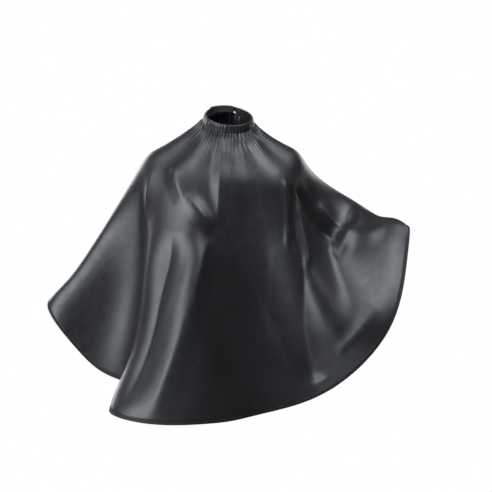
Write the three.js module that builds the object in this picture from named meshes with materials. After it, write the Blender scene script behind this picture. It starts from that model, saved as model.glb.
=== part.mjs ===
// Barber cape with a gathered, elasticated neck and a hook-and-loop tab at the back.
//
// Units are millimetres, +Z is up and the wearer faces -Y. The origin is the centre of the
// neck opening, at the seam where the cape body meets its neck band. The cape is shown as it
// hangs when it is worn, with both arms under it and its hem held out at the two sides.
//
// The cloth is cut flat, as part of a ring about the neck, and is then draped by relaxing a
// lattice of links over a dress form made of rounded cones. Every sewn piece is a thin shell
// that follows the same draped lattice, at its own distance from the middle of the cloth.

import * as THREE from 'three';

const RAD = Math.PI / 180;

// ---------------------------------------------------------------- driving dimensions

// The flat cut: a ring about the neck, with its outer circle centred in front of the neck.
const CUT = {
  radius: 640,          // outer circle
  centreOffset: 120,    // how far the outer circle's centre lies in front of the neck
  neckRadius: 75,       // neck cut, before it is gathered
  sector: 0.72,         // share of a full turn that the cloth takes up
  openingShare: 0.012,  // share of the neck left open at the back
};

// The finished neck: an oval ring, pitched down at the front and rolled to one side.
const NECK = { halfWidth: 57, halfDepth: 54, pitch: 26 * RAD, roll: 6 * RAD, turn: -12 * RAD };

const CLOTH = { thickness: 1 };

// The neck band: a folded casing that holds the elastic and takes in the top of the body.
const BAND = { wall: 0.9, clearance: 0.35, elasticWidth: 8, elasticThickness: 1.2,
  tuck: 5, tuckGap: 1, skirt: 2, narrowing: 0.004 };

// The folded tape that binds the hem and the two back edges.
const BINDING = { width: 6, wall: 0.8, clearance: 0.6 };

const THREAD = { width: 0.8, thickness: 0.6, clearance: 0.3 };

// The hook-and-loop fastener. Lengths run along the band from the middle of the back.
const TAPE = { clearance: 0.3, stripThickness: 1.2, clothThickness: 0.8, middleHeight: 7 };
const LOOP = { start: 12, length: 50, height: 11 };
const HOOK = { start: 18, length: 35, height: 8.4 };
const TAB = { height: 12, length: 64, rootLength: 15, rootGap: 0.4, rise: 12, hem: 1.4 };
const STITCH = { width: 0.5, thickness: 0.5, inset: 0.7 };
const BARTACK = { fromOpening: 9, fromRoot: 4, width: 1.2, height: 9 };

// Where the hem is held out: the angle on the cut, and the place in cut radii from the neck.
const LEFT_HOLD = { angle: -80 * RAD, at: [-0.671, 0.047, -0.65] };
const RIGHT_HOLD = { angle: 100 * RAD, at: [0.653, -0.219, -0.355], lower: [0.616, -0.242, -0.495] };
const GRIP_LENGTH = 97;
const RIGHT_FALL = [-50, 60, -20];

// The line that the front hem is dressed to, from the left hold to the grip, in cut radii.
const HEM_LINE = [
  [-0.555, -0.094, -0.789], [-0.408, -0.219, -0.917], [-0.365, -0.094, -1.010],
  [-0.294, -0.234, -1.040], [-0.145, -0.406, -1.067], [-0.041, -0.453, -1.024],
  [0.078, -0.453, -0.990], [0.217, -0.336, -0.986], [0.267, -0.297, -0.975],
  [0.366, -0.156, -0.949], [0.510, -0.141, -0.784], [0.580, -0.156, -0.638],
];

// ---------------------------------------------------------------- the dress form

// Rounded cones under the cloth: from, to, radius at each end.
const shoulder = { left: [-160, 15, -112], right: [137, 15, -106] };
const elbow = { left: [-260, 50, -268], right: [240, 90, -300] };
const leftHand = inRadii(LEFT_HOLD.at, [22, -5, 0]);
const rightHand = inRadii(RIGHT_HOLD.at, [-16, 20, -38]);
const leftWrist = shifted(leftHand, [35, 10, 30]);
const rightWrist = shifted(rightHand, [-45, 35, -10]);
const neckRoot = [0, 10, -85];
const DRESS_FORM = [
  [[0, 8, -90], [0, 18, 60], NECK.halfDepth, NECK.halfDepth - 4],
  [neckRoot, shoulder.right, 58, 49],
  [neckRoot, shoulder.left, 58, 48],
  [[-80, 0, -170], [-75, 0, -620], 98, 95],
  [[80, 0, -170], [75, 0, -620], 98, 95],
  [[0, -5, -170], [0, 0, -620], 100, 95],
  [[-58, -70, -252], [-56, -70, -257], 50, 50],
  [[55, -60, -255], [57, -60, -260], 45, 45],
  [shoulder.left, elbow.left, 48, 40],
  [elbow.left, leftWrist, 40, 28],
  [leftWrist, leftHand, 28, 20],
  [shoulder.right, elbow.right, 48, 40],
  [elbow.right, rightWrist, 40, 28],
  [rightWrist, rightHand, 28, 26],
];

// ---------------------------------------------------------------- the drape

const LATTICE = { across: 81, down: 21 };
const RELAX = { steps: 900, timeStep: 1 / 250, passes: 2, gravity: 9810, gap: 3, grip: 0.5,
  near: 60, nearEvery: 10, topSpeed: 3000, startSlope: 12 * RAD, settleIn: 0.35,
  hemPull: 0.05, parting: 4, partingColumns: 6, averaged: 24, softening: 0.5 };
const STIFFNESS = { thread: 1, shear: 0.7, shortBend: 0.4, longBend: 0.5, tether: 1 };
const LONG_BEND = 4;
const TETHER = 6;

function inRadii(place, offset) {
  return place.map((share, axis) => share * CUT.radius + offset[axis]);
}

function shifted(place, offset) {
  return place.map((value, axis) => value + offset[axis]);
}

// Distance from the neck's centre to the outer circle, at an angle from straight ahead.
function hemRadius(angle) {
  const along = CUT.centreOffset * Math.cos(angle);
  const aside = CUT.centreOffset * Math.sin(angle);
  return along + Math.sqrt(CUT.radius ** 2 - aside ** 2);
}

function columnAngle(column) {
  const half = Math.PI * (1 - CUT.openingShare);
  return -half + 2 * half * column / (LATTICE.across - 1);
}

function nearestColumn(angle) {
  let best = 0;
  for (let column = 1; column < LATTICE.across; column += 1) {
    if (Math.abs(columnAngle(column) - angle) < Math.abs(columnAngle(best) - angle)) {
      best = column;
    }
  }
  return best;
}

// A point of the neck oval, with the ring's pitch and roll, at a height along its own axis.
function neckPoint(angle, height = 0) {
  const size = 1 - BAND.narrowing * height;
  const turned = angle + NECK.turn;
  return new THREE.Vector3(
    size * NECK.halfWidth * Math.sin(turned), -size * NECK.halfDepth * Math.cos(turned), height)
    .applyAxisAngle(new THREE.Vector3(1, 0, 0), NECK.pitch)
    .applyAxisAngle(new THREE.Vector3(0, 1, 0), NECK.roll);
}

// A lattice of points, linked along the thread, across the bias and over two and four cells.
class Drape {
  constructor() {
    const { across, down } = LATTICE;
    this.count = across * down;
    this.place = new Float64Array(3 * this.count);
    this.before = new Float64Array(3 * this.count);
    this.speed = new Float64Array(3 * this.count);
    this.flat = new Float64Array(2 * this.count);
    this.free = new Uint8Array(this.count).fill(1);
    this.nearest = new Int16Array(this.count).fill(-1);
    this.families = [];
    this.layOut();
    this.holdHem();
    this.link();
  }

  index(column, row) {
    return column * LATTICE.down + row;
  }

  // The flat cut, and the shallow cone that the drape starts from.
  layOut() {
    const { across, down } = LATTICE;
    for (let column = 0; column < across; column += 1) {
      const angle = columnAngle(column);
      const neck = neckPoint(angle);
      const length = hemRadius(angle) - CUT.neckRadius;
      for (let row = 0; row < down; row += 1) {
        const k = this.index(column, row);
        const out = length * row / (down - 1);
        const radius = CUT.neckRadius + out;
        this.flat[2 * k] = radius * Math.sin(angle * CUT.sector);
        this.flat[2 * k + 1] = -radius * Math.cos(angle * CUT.sector);
        const level = out * Math.cos(RELAX.startSlope);
        this.place[3 * k] = neck.x + level * Math.sin(angle + NECK.turn);
        this.place[3 * k + 1] = neck.y - level * Math.cos(angle + NECK.turn);
        this.place[3 * k + 2] = neck.z - out * Math.sin(RELAX.startSlope);
      }
      this.free[this.index(column, 0)] = 0;
    }
  }

  flatDistance(a, b) {
    return Math.hypot(this.flat[2 * a] - this.flat[2 * b],
      this.flat[2 * a + 1] - this.flat[2 * b + 1]);
  }

  // Length of hem from the first column to each column, on the flat cut.
  hemLengths() {
    const lengths = [0];
    for (let column = 1; column < LATTICE.across; column += 1) {
      const last = LATTICE.down - 1;
      lengths.push(lengths[column - 1]
        + this.flatDistance(this.index(column - 1, last), this.index(column, last)));
    }
    return lengths;
  }

  // Pins the two holds, and works out where the hem between them is dressed to.
  holdHem() {
    const lengths = this.hemLengths();
    const last = LATTICE.down - 1;
    const left = nearestColumn(LEFT_HOLD.angle);
    const right = nearestColumn(RIGHT_HOLD.angle);
    this.creases = [left, right];
    const line = [LEFT_HOLD.at, ...HEM_LINE, RIGHT_HOLD.lower].map((p) => inRadii(p, [0, 0, 0]));
    this.pins = [];
    const pin = (column, target) => {
      const k = this.index(column, last);
      const start = Array.from(this.place.subarray(3 * k, 3 * k + 3));
      this.free[k] = 0;
      this.pins.push({ k, start, target });
    };
    pin(left, line[0]);
    pin(left + 1, stepTowards(line[0], line[1], lengths[left + 1] - lengths[left]));
    const top = inRadii(RIGHT_HOLD.at, [0, 0, 0]);
    const foot = line[line.length - 1];
    let gripEnd = right;
    for (let column = right; lengths[right] - lengths[column] <= GRIP_LENGTH; column -= 1) {
      const share = (lengths[right] - lengths[column]) / GRIP_LENGTH;
      pin(column, top.map((value, axis) => value + share * (foot[axis] - value)));
      gripEnd = column;
    }
    pin(right + 2, stepTowards(top, shifted(top, RIGHT_FALL),
      lengths[right + 2] - lengths[right]));
    this.dressed = [];
    const dressedLine = new Polyline(line);
    for (let column = left + 2; column < gripEnd; column += 1) {
      const share = (lengths[column] - lengths[left]) / (lengths[gripEnd] - lengths[left]);
      this.dressed.push({ k: this.index(column, last), target: dressedLine.at(share) });
    }
  }

  // One family of links that share no point, so that they can be eased in any order.
  family(columnStep, rowStep, parity, stiffness, slack = false, creased = false) {
    const { across, down } = LATTICE;
    const stride = Math.max(Math.abs(columnStep), Math.abs(rowStep));
    const links = [];
    for (let column = 0; column + columnStep < across; column += 1) {
      for (let row = 0; row < down; row += 1) {
        const end = row + rowStep;
        const main = columnStep ? column : row;
        const inBlock = Math.floor(main / stride) % 2 === parity;
        const bent = creased && columnStep
          && this.creases.some((crease) => column < crease && column + columnStep > crease);
        if (end < 0 || end >= down || !inBlock || bent) {
          continue;
        }
        const a = this.index(column, row);
        const b = this.index(column + columnStep, end);
        links.push(a, b, this.flatDistance(a, b));
      }
    }
    this.families.push({ links, stiffness, slack });
  }

  link() {
    for (const [columnStep, rowStep] of [[1, 0], [0, 1]]) {
      for (const parity of [0, 1]) {
        this.family(columnStep, rowStep, parity, STIFFNESS.thread);
      }
    }
    for (const parity of [0, 1]) {
      this.family(1, 1, parity, STIFFNESS.shear);
      this.family(1, -1, parity, STIFFNESS.shear);
    }
    const bends = [[2, STIFFNESS.shortBend], [LONG_BEND, STIFFNESS.longBend]];
    for (const [reach, stiffness] of bends) {
      for (const [columnStep, rowStep] of [[reach, 0], [0, reach]]) {
        for (const parity of [0, 1]) {
          this.family(columnStep, rowStep, parity, stiffness, false, true);
        }
      }
    }
    for (const [columnStep, rowStep] of [[TETHER, 0], [0, TETHER]]) {
      for (const parity of [0, 1]) {
        this.family(columnStep, rowStep, parity, STIFFNESS.tether, true);
      }
    }
  }

  ease({ links, stiffness, slack }) {
    const { place, free } = this;
    for (let i = 0; i < links.length; i += 3) {
      const a = 3 * links[i];
      const b = 3 * links[i + 1];
      const dx = place[b] - place[a];
      const dy = place[b + 1] - place[a + 1];
      const dz = place[b + 2] - place[a + 2];
      const length = Math.hypot(dx, dy, dz) + 1e-9;
      const excess = length - links[i + 2];
      const freeA = free[links[i]];
      const freeB = free[links[i + 1]];
      if ((slack && excess <= 0) || freeA + freeB === 0) {
        continue;
      }
      const share = stiffness * excess / length / (freeA + freeB);
      place[a] += freeA * share * dx;
      place[a + 1] += freeA * share * dy;
      place[a + 2] += freeA * share * dz;
      place[b] -= freeB * share * dx;
      place[b + 1] -= freeB * share * dy;
      place[b + 2] -= freeB * share * dz;
    }
  }

  // How deep a point lies inside one rounded cone, and the direction out of it.
  depth(k, [from, to, fromRadius, toRadius]) {
    const axis = from.map((value, i) => to[i] - value);
    const rel = from.map((value, i) => this.place[3 * k + i] - value);
    const dot = rel[0] * axis[0] + rel[1] * axis[1] + rel[2] * axis[2];
    const share = Math.min(1, Math.max(0, dot / Math.max(axis[0] ** 2 + axis[1] ** 2 + axis[2] ** 2,
      1e-9)));
    const out = rel.map((value, i) => value - share * axis[i]);
    const away = Math.max(Math.hypot(...out), 1e-6);
    const radius = fromRadius + (toRadius - fromRadius) * share + RELAX.gap;
    return { deep: radius - away, out: out.map((value) => value / away) };
  }

  findNearest() {
    for (let k = 0; k < this.count; k += 1) {
      let best = -RELAX.near;
      this.nearest[k] = -1;
      DRESS_FORM.forEach((cone, i) => {
        const { deep } = this.depth(k, cone);
        if (deep > best) {
          best = deep;
          this.nearest[k] = i;
        }
      });
    }
  }

  pushOut() {
    for (let k = 0; k < this.count; k += 1) {
      if (this.nearest[k] < 0 || !this.free[k]) {
        continue;
      }
      const { deep, out } = this.depth(k, DRESS_FORM[this.nearest[k]]);
      if (deep <= 0) {
        continue;
      }
      const move = out.map((value, i) => this.place[3 * k + i] + deep * value
        - this.before[3 * k + i]);
      const along = move[0] * out[0] + move[1] * out[1] + move[2] * out[2];
      for (let i = 0; i < 3; i += 1) {
        const slide = move[i] - along * out[i];
        this.place[3 * k + i] = this.before[3 * k + i] + move[i] - RELAX.grip * slide;
      }
    }
  }

  // Keeps the two back edges on their own sides of the plane through the back opening.
  part() {
    const { across, down } = LATTICE;
    const aside = [-Math.cos(NECK.turn), -Math.sin(NECK.turn)];
    const keepOff = (k, side) => {
      const off = side * (this.place[3 * k] * aside[0] + this.place[3 * k + 1] * aside[1]);
      const short = Math.max(0, RELAX.parting - off);
      this.place[3 * k] += side * short * aside[0];
      this.place[3 * k + 1] += side * short * aside[1];
    };
    for (let i = 0; i < RELAX.partingColumns; i += 1) {
      for (let row = 1; row < down; row += 1) {
        keepOff(this.index(i, row), 1);
        keepOff(this.index(across - 1 - i, row), -1);
      }
    }
  }

  step(number) {
    const { place, before, speed, free } = this;
    const share = Math.min(1, number / (RELAX.settleIn * RELAX.steps));
    const drawn = share * share * (3 - 2 * share);
    for (const { k, target } of this.dressed) {
      for (let i = 0; i < 3; i += 1) {
        place[3 * k + i] += RELAX.hemPull * drawn * (target[i] - place[3 * k + i]);
      }
    }
    before.set(place);
    const late = number / RELAX.steps;
    const keep = late < 0.6 ? 0.985 : (late < 0.85 ? 0.96 : 0.8);
    for (let k = 0; k < this.count; k += 1) {
      for (let i = 0; i < 3; i += 1) {
        speed[3 * k + i] *= keep;
      }
      speed[3 * k + 2] -= RELAX.gravity * RELAX.timeStep;
      for (let i = 0; i < 3; i += 1) {
        place[3 * k + i] += free[k] * speed[3 * k + i] * RELAX.timeStep;
      }
    }
    for (const { k, start, target } of this.pins) {
      for (let i = 0; i < 3; i += 1) {
        place[3 * k + i] = start[i] + drawn * (target[i] - start[i]);
      }
    }
    const order = number % 2 ? this.families : [...this.families].reverse();
    for (let pass = 0; pass < RELAX.passes; pass += 1) {
      order.forEach((family) => this.ease(family));
      this.pushOut();
    }
    for (let k = 0; k < this.count; k += 1) {
      const velocity = [0, 1, 2].map((i) => (place[3 * k + i] - before[3 * k + i])
        / RELAX.timeStep);
      const limit = Math.min(1, RELAX.topSpeed / Math.max(Math.hypot(...velocity), 1e-9));
      velocity.forEach((value, i) => {
        speed[3 * k + i] = value * limit;
      });
    }
    this.part();
  }

  // Relaxes the lattice and gives its mean place over the last steps, as columns of points.
  settle() {
    const sum = new Float64Array(3 * this.count);
    for (let number = 0; number < RELAX.steps; number += 1) {
      if (number % RELAX.nearEvery === 0) {
        this.findNearest();
      }
      this.step(number);
      if (number >= RELAX.steps - RELAX.averaged) {
        this.place.forEach((value, i) => {
          sum[i] += value / RELAX.averaged;
        });
      }
    }
    const { across, down } = LATTICE;
    const point = (column, row) => new THREE.Vector3().fromArray(sum, 3 * this.index(column, row));
    const columns = [];
    for (let column = 0; column < across; column += 1) {
      const points = [];
      for (let row = 0; row < down; row += 1) {
        const middle = point(column, row);
        const inside = row > 0 && column > 0 && column < across - 1;
        const mean = inside ? point(column - 1, row).lerp(point(column + 1, row), 0.5) : middle;
        points.push(middle.clone().lerp(mean, RELAX.softening));
      }
      columns.push(points);
    }
    return columns;
  }
}

function stepTowards(from, to, length) {
  const gap = Math.hypot(...from.map((value, i) => to[i] - value));
  return from.map((value, i) => value + (to[i] - value) * length / gap);
}

// A broken line through plain points, read by its share of length.
class Polyline {
  constructor(points) {
    this.points = points;
    this.lengths = [0];
    for (let i = 1; i < points.length; i += 1) {
      const gap = Math.hypot(...points[i].map((value, axis) => value - points[i - 1][axis]));
      this.lengths.push(this.lengths[i - 1] + gap);
    }
  }

  at(share) {
    const wanted = share * this.lengths[this.lengths.length - 1];
    let i = 1;
    while (i < this.points.length - 1 && this.lengths[i] < wanted) {
      i += 1;
    }
    const f = (wanted - this.lengths[i - 1]) / (this.lengths[i] - this.lengths[i - 1]);
    return this.points[i].map((value, axis) => {
      const start = this.points[i - 1][axis];
      return start + f * (value - start);
    });
  }
}

// ---------------------------------------------------------------- the sewing lattice

// Reads a line of vectors at a length from its start. Past an end, the end leg runs on.
function along(points, wanted) {
  let passed = 0;
  for (let i = 1; i < points.length; i += 1) {
    const leg = points[i].distanceTo(points[i - 1]);
    if (wanted <= passed + leg || i === points.length - 1) {
      return points[i - 1].clone().lerp(points[i], (wanted - passed) / leg);
    }
    passed += leg;
  }
  return points[0].clone();
}

function lengthOf(points) {
  return points.slice(1).reduce((sum, point, i) => sum + point.distanceTo(points[i]), 0);
}

// Heights of the band's parts above the neck seam.
const elasticTop = BAND.tuck + BAND.tuckGap + BAND.elasticWidth;
const BAND_HEIGHT = elasticTop + BAND.clearance + BAND.wall;
const clothHalf = CLOTH.thickness / 2;
const bandInner = Math.max(clothHalf, BAND.elasticThickness / 2) + BAND.clearance;
const bandOuter = bandInner + BAND.wall;
const bindingInner = clothHalf + BINDING.clearance;
const bindingOuter = bindingInner + BINDING.wall;

// Named rows, from the top of the band to past the hem, and named columns at the back edges.
const ROWS = [
  ['bandTop', { height: BAND_HEIGHT }],
  ['bandRoof', { height: elasticTop + BAND.clearance }],
  ['elasticTop', { height: elasticTop }],
  ['elasticFoot', { height: BAND.tuck + BAND.tuckGap }],
  ['bodyTop', { height: BAND.tuck }],
  ['seam', { height: 0 }],
  ['bandStitch', { fromNeck: BAND.skirt - THREAD.width }],
  ['bandFoot', { fromNeck: BAND.skirt }],
  ['edgeTop', { fromNeck: BAND.skirt + BINDING.clearance }],
];
for (let row = 1; row < LATTICE.down - 1; row += 1) {
  ROWS.push([`cloth${row}`, { row }]);
}
const edgeFoot = BINDING.width + BINDING.clearance;
ROWS.push(['edgeFoot', { fromHem: edgeFoot }]);
ROWS.push(['bindingTop', { fromHem: BINDING.width }]);
ROWS.push(['bindingStitch', { fromHem: BINDING.width - THREAD.width }]);
ROWS.push(['hem', { fromHem: 0 }]);
ROWS.push(['bindingFloor', { fromHem: -BINDING.clearance }]);
ROWS.push(['bindingFoot', { fromHem: -BINDING.clearance - BINDING.wall }]);
const ROW_AT = new Map(ROWS.map(([name], i) => [name, i]));

// Distances in from each back edge of the columns that the edge bindings need.
const EDGE_INSETS = [-BINDING.clearance - BINDING.wall, -BINDING.clearance, 0,
  BINDING.width - THREAD.width, BINDING.width];
const OUTSIDE_COLUMNS = 2;
const COLUMN_COUNT = LATTICE.across - 4 + 2 * EDGE_INSETS.length;
const FIRST_COLUMN = OUTSIDE_COLUMNS;
const LAST_COLUMN = COLUMN_COUNT - 1 - OUTSIDE_COLUMNS;

// The draped cloth as one lattice of places and outward directions that all pieces share.
class SewingLattice {
  constructor(columns) {
    const grid = columns.map((points, column) => ROWS.map(([, rule]) => {
      if ('height' in rule) {
        return neckPoint(columnAngle(column), rule.height);
      }
      if ('row' in rule) {
        return points[rule.row].clone();
      }
      return along(points, 'fromNeck' in rule ? rule.fromNeck : lengthOf(points) - rule.fromHem);
    }));
    const count = grid.length;
    const edgeColumn = (ordered, inset) => ROWS.map((_, row) => along(
      ordered.map((points) => points[row]), inset));
    const fromLeft = [grid[0], ...grid.slice(2)];
    const fromRight = [grid[count - 1], ...grid.slice(0, count - 2).reverse()];
    const leftEdge = EDGE_INSETS.map((inset) => edgeColumn(fromLeft, inset));
    const rightEdge = EDGE_INSETS.map((inset) => edgeColumn(fromRight, inset)).reverse();
    this.place = [...leftEdge, ...grid.slice(2, count - 2), ...rightEdge];
    const sharp = this.place.map((_, column) => ROWS.map((__, row) => this.outward(column, row)));
    this.out = sharp.map((_, column) => ROWS.map((__, row) => this.eased(sharp, column, row)));
  }

  // A direction averaged with its neighbours down the cloth, so that no shell twists sharply.
  eased(sharp, column, row) {
    const above = sharp[column][Math.max(row - 1, 0)];
    const below = sharp[column][Math.min(row + 1, ROWS.length - 1)];
    return sharp[column][row].clone().multiplyScalar(2).add(above).add(below).normalize();
  }

  outward(column, row) {
    const { place } = this;
    const last = place.length - 1;
    const across = place[Math.min(column + 1, last)][row].clone()
      .sub(place[Math.max(column - 1, 0)][row]);
    const down = place[column][Math.min(row + 1, ROWS.length - 1)].clone()
      .sub(place[column][Math.max(row - 1, 0)]);
    return down.cross(across).normalize();
  }

  at(column, row, out) {
    return this.place[column][row].clone().addScaledVector(this.out[column][row], out);
  }
}

// ---------------------------------------------------------------- shells

// A closed shell: two facing skins of points at every station, joined, with both ends shut.
// A station lists the first skin, then the second one in the opposite order. Each face is split
// from its lower key at the near station to its higher key at the far one, so that shells that
// lie on each other have the same facets.
function shell(stations, { keys = [], closedLoop = false } = {}) {
  const size = stations[0].length;
  const positions = stations.flat().flatMap((point) => [point.x, point.y, point.z]);
  const index = [];
  const legs = closedLoop ? stations.length : stations.length - 1;
  for (let s = 0; s < legs; s += 1) {
    const near = s * size;
    const far = ((s + 1) % stations.length) * size;
    for (let i = 0; i < size; i += 1) {
      const j = (i + 1) % size;
      if (keys[i] > keys[j]) {
        index.push(near + i, near + j, far + i, near + j, far + j, far + i);
      } else {
        index.push(near + i, near + j, far + j, near + i, far + j, far + i);
      }
    }
  }
  const end = (stations.length - 1) * size;
  for (let i = 0; !closedLoop && i < size / 2 - 1; i += 1) {
    const [a, b, c, d] = [i, i + 1, size - 2 - i, size - 1 - i];
    index.push(a, c, b, a, d, c, end + a, end + b, end + c, end + a, end + c, end + d);
  }
  const geometry = new THREE.BufferGeometry();
  geometry.setAttribute('position', new THREE.Float32BufferAttribute(positions, 3));
  geometry.setIndex(turnedOutward(positions, index));
  geometry.computeVertexNormals();
  return geometry;
}

// Turns every face over when the enclosed volume comes out negative.
function turnedOutward(positions, index) {
  let volume = 0;
  const corner = (k) => new THREE.Vector3().fromArray(positions, 3 * k);
  for (let i = 0; i < index.length; i += 3) {
    const [a, b, c] = [corner(index[i]), corner(index[i + 1]), corner(index[i + 2])];
    volume += a.dot(b.cross(c));
  }
  if (volume > 0) {
    return index;
  }
  return index.map((_, i) => index[i % 3 === 0 ? i : (i % 3 === 1 ? i + 1 : i - 1)]);
}

// Carries two skins of [row name, out] along the columns.
function alongHem(lattice, first, second, from = FIRST_COLUMN, to = LAST_COLUMN) {
  const rows = [...first, ...[...second].reverse()].map(([name, out]) => [ROW_AT.get(name), out]);
  const stations = [];
  for (let column = from; column <= to; column += 1) {
    stations.push(rows.map(([row, out]) => lattice.at(column, row, out)));
  }
  return shell(stations, { keys: rows.map(([row]) => row) });
}

// Carries two skins of [column, out] down the rows.
function downEdge(lattice, first, second, fromRow, toRow) {
  const outline = [...first, ...[...second].reverse()];
  const stations = [];
  for (let row = ROW_AT.get(fromRow); row <= ROW_AT.get(toRow); row += 1) {
    stations.push(outline.map(([column, out]) => lattice.at(column, row, out)));
  }
  return shell(stations, { keys: outline.map(([column]) => column) });
}

// The skin of a tape folded over an edge: out on one side, round the fold, back on the other.
function folded(steps, fold, out) {
  const outer = [...steps, fold].map((step) => [step, out]);
  const inner = [fold, ...[...steps].reverse()].map((step) => [step, -out]);
  return [...outer, ...inner];
}

// ---------------------------------------------------------------- pieces on the cloth

function capeBody(lattice) {
  const names = ROWS.map(([name]) => name).slice(ROW_AT.get('bodyTop'), ROW_AT.get('hem') + 1);
  return alongHem(lattice, names.map((name) => [name, clothHalf]),
    names.map((name) => [name, -clothHalf]));
}

function neckCasing(lattice) {
  const walls = ['bandFoot', 'bandStitch', 'seam'];
  return alongHem(lattice, folded(walls, 'bandTop', bandOuter),
    folded(walls, 'bandRoof', bandInner));
}

function neckElastic(lattice) {
  const half = BAND.elasticThickness / 2;
  return alongHem(lattice, [['elasticTop', half], ['elasticFoot', half]],
    [['elasticTop', -half], ['elasticFoot', -half]], FIRST_COLUMN + 1, LAST_COLUMN - 1);
}

function hemBinding(lattice) {
  const walls = ['bindingTop', 'bindingStitch', 'hem'];
  return alongHem(lattice, folded(walls, 'bindingFoot', bindingOuter),
    folded(walls, 'bindingFloor', bindingInner));
}

// The columns of one back edge, from past the edge inwards.
function edgeColumns(side) {
  return EDGE_INSETS.map((_, i) => (side === 'left' ? i : COLUMN_COUNT - 1 - i));
}

function backEdgeBinding(lattice, side) {
  const [foot, floor, edge, stitch, top] = edgeColumns(side);
  const walls = [top, stitch, edge];
  return downEdge(lattice, folded(walls, foot, bindingOuter),
    folded(walls, floor, bindingInner), 'edgeTop', 'edgeFoot');
}

// A line of stitching between two rows, on a surface at a distance from the middle of the cloth.
function rowThread(lattice, rows, surface) {
  const low = surface + THREAD.clearance;
  return alongHem(lattice, rows.map((name) => [name, low + THREAD.thickness]),
    rows.map((name) => [name, low]));
}

function backEdgeThread(lattice, side) {
  const [, , , stitch, top] = edgeColumns(side);
  const low = bindingOuter + THREAD.clearance;
  return downEdge(lattice, [top, stitch].map((column) => [column, low + THREAD.thickness]),
    [top, stitch].map((column) => [column, low]), 'edgeTop', 'edgeFoot');
}

// ---------------------------------------------------------------- the fastener

// A point on the band at a length past the middle of the back, a height and a distance out.
function bandPoint(length, height, out) {
  const meanRadius = (NECK.halfWidth + NECK.halfDepth) / 2;
  const angle = -Math.PI + length / meanRadius;
  const step = 0.5 / meanRadius;
  const tangent = neckPoint(angle + step, height).sub(neckPoint(angle - step, height));
  const axis = neckPoint(angle, height + 1).sub(neckPoint(angle, height));
  const outward = tangent.cross(axis).normalize();
  return neckPoint(angle, height).addScaledVector(outward, out);
}

const opening = Math.PI * CUT.openingShare * (NECK.halfWidth + NECK.halfDepth) / 2;
const SEGMENT = 3;

// A strip of tape on the band: its outline in length and height, with a thickness outwards.
function tape({ start, length, height, roundEnd = false, base, thickness }) {
  const count = Math.ceil(length / SEGMENT);
  const stations = [];
  for (let i = 0; i <= count; i += 1) {
    const at = start + length * i / count;
    const left = start + length - at;
    const half = height / 2;
    const round = roundEnd && left < half ? Math.sqrt(half ** 2 - (half - left) ** 2) : half;
    const low = TAPE.middleHeight - Math.max(round, half / 4);
    const high = TAPE.middleHeight + Math.max(round, half / 4);
    const inner = typeof base === 'function' ? base(at) : base;
    stations.push([bandPoint(at, low, inner), bandPoint(at, high, inner),
      bandPoint(at, high, inner + thickness), bandPoint(at, low, inner + thickness)]);
  }
  return shell(stations);
}

// A closed rectangle of stitching on the band.
function stitchedRectangle({ start, length, height, inset, base }) {
  const low = TAPE.middleHeight - height / 2 + inset;
  const high = TAPE.middleHeight + height / 2 - inset;
  const first = start + inset;
  const last = start + length - inset;
  const count = Math.ceil((last - first) / SEGMENT);
  const path = [];
  for (let i = 0; i <= count; i += 1) {
    path.push([first + (last - first) * i / count, low, 1]);
  }
  for (let i = count; i >= 0; i -= 1) {
    path.push([first + (last - first) * i / count, high, -1]);
  }
  const half = STITCH.width / 2;
  const stations = path.map(([at, height0, inward]) => {
    const shift = at === first ? half : (at === last ? -half : 0);
    const level = typeof base === 'function' ? base(at) : base;
    const corner = (sign, rise) => bandPoint(at + sign * shift, height0 + sign * inward * half,
      level + rise);
    return [corner(-1, 0), corner(1, 0), corner(1, STITCH.thickness), corner(-1, STITCH.thickness)];
  });
  return shell(stations, { closedLoop: true });
}

// Levels out from the middle of the band, from its outer face to the top of the tab.
const loopBase = bandOuter + TAPE.clearance;
const hookBase = loopBase + TAPE.stripThickness + TAPE.clearance;
const liningBase = hookBase + TAPE.stripThickness + TAPE.clearance;
const tabStart = -opening - TAB.rootGap;

// The tab starts flat on the band and rises over the loop strip.
function tabBase(at) {
  const share = Math.min(1, Math.max(0, (at - tabStart) / TAB.rise));
  return loopBase + (liningBase - loopBase) * share * share * (3 - 2 * share);
}

const liningThickness = TAPE.clothThickness + TAPE.clearance;
const stitchBase = (at) => tabBase(at) + 2 * liningThickness;

function tabCloth(raise) {
  return tape({ start: tabStart, length: TAB.length, height: TAB.height, roundEnd: true,
    base: (at) => tabBase(at) + raise, thickness: TAPE.clothThickness });
}

function tabRoot() {
  return tape({ start: -opening - TAB.rootLength, length: TAB.rootLength - 2 * TAB.rootGap,
    height: TAB.height, base: loopBase, thickness: 2 * TAPE.clothThickness + TAPE.clearance });
}

function bartack(middle) {
  return tape({ start: middle - BARTACK.width / 2, length: BARTACK.width,
    height: BARTACK.height, base: bandOuter + THREAD.clearance, thickness: STITCH.thickness });
}

// ---------------------------------------------------------------- the cape

const COLOURS = {
  taffeta: { color: 0x1b1c1f, roughness: 0.42, metalness: 0 },
  binding: { color: 0x141416, roughness: 0.6, metalness: 0 },
  elastic: { color: 0x202022, roughness: 0.85, metalness: 0 },
  thread: { color: 0x0e0e10, roughness: 0.7, metalness: 0 },
  hookTape: { color: 0x121213, roughness: 0.7, metalness: 0 },
  loopTape: { color: 0x18181a, roughness: 0.95, metalness: 0 },
};

const cape = new THREE.Group();

function add(name, geometry, finish) {
  const mesh = new THREE.Mesh(geometry, new THREE.MeshStandardMaterial(COLOURS[finish]));
  mesh.name = name;
  cape.add(mesh);
}

const lattice = new SewingLattice(new Drape().settle());

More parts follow.
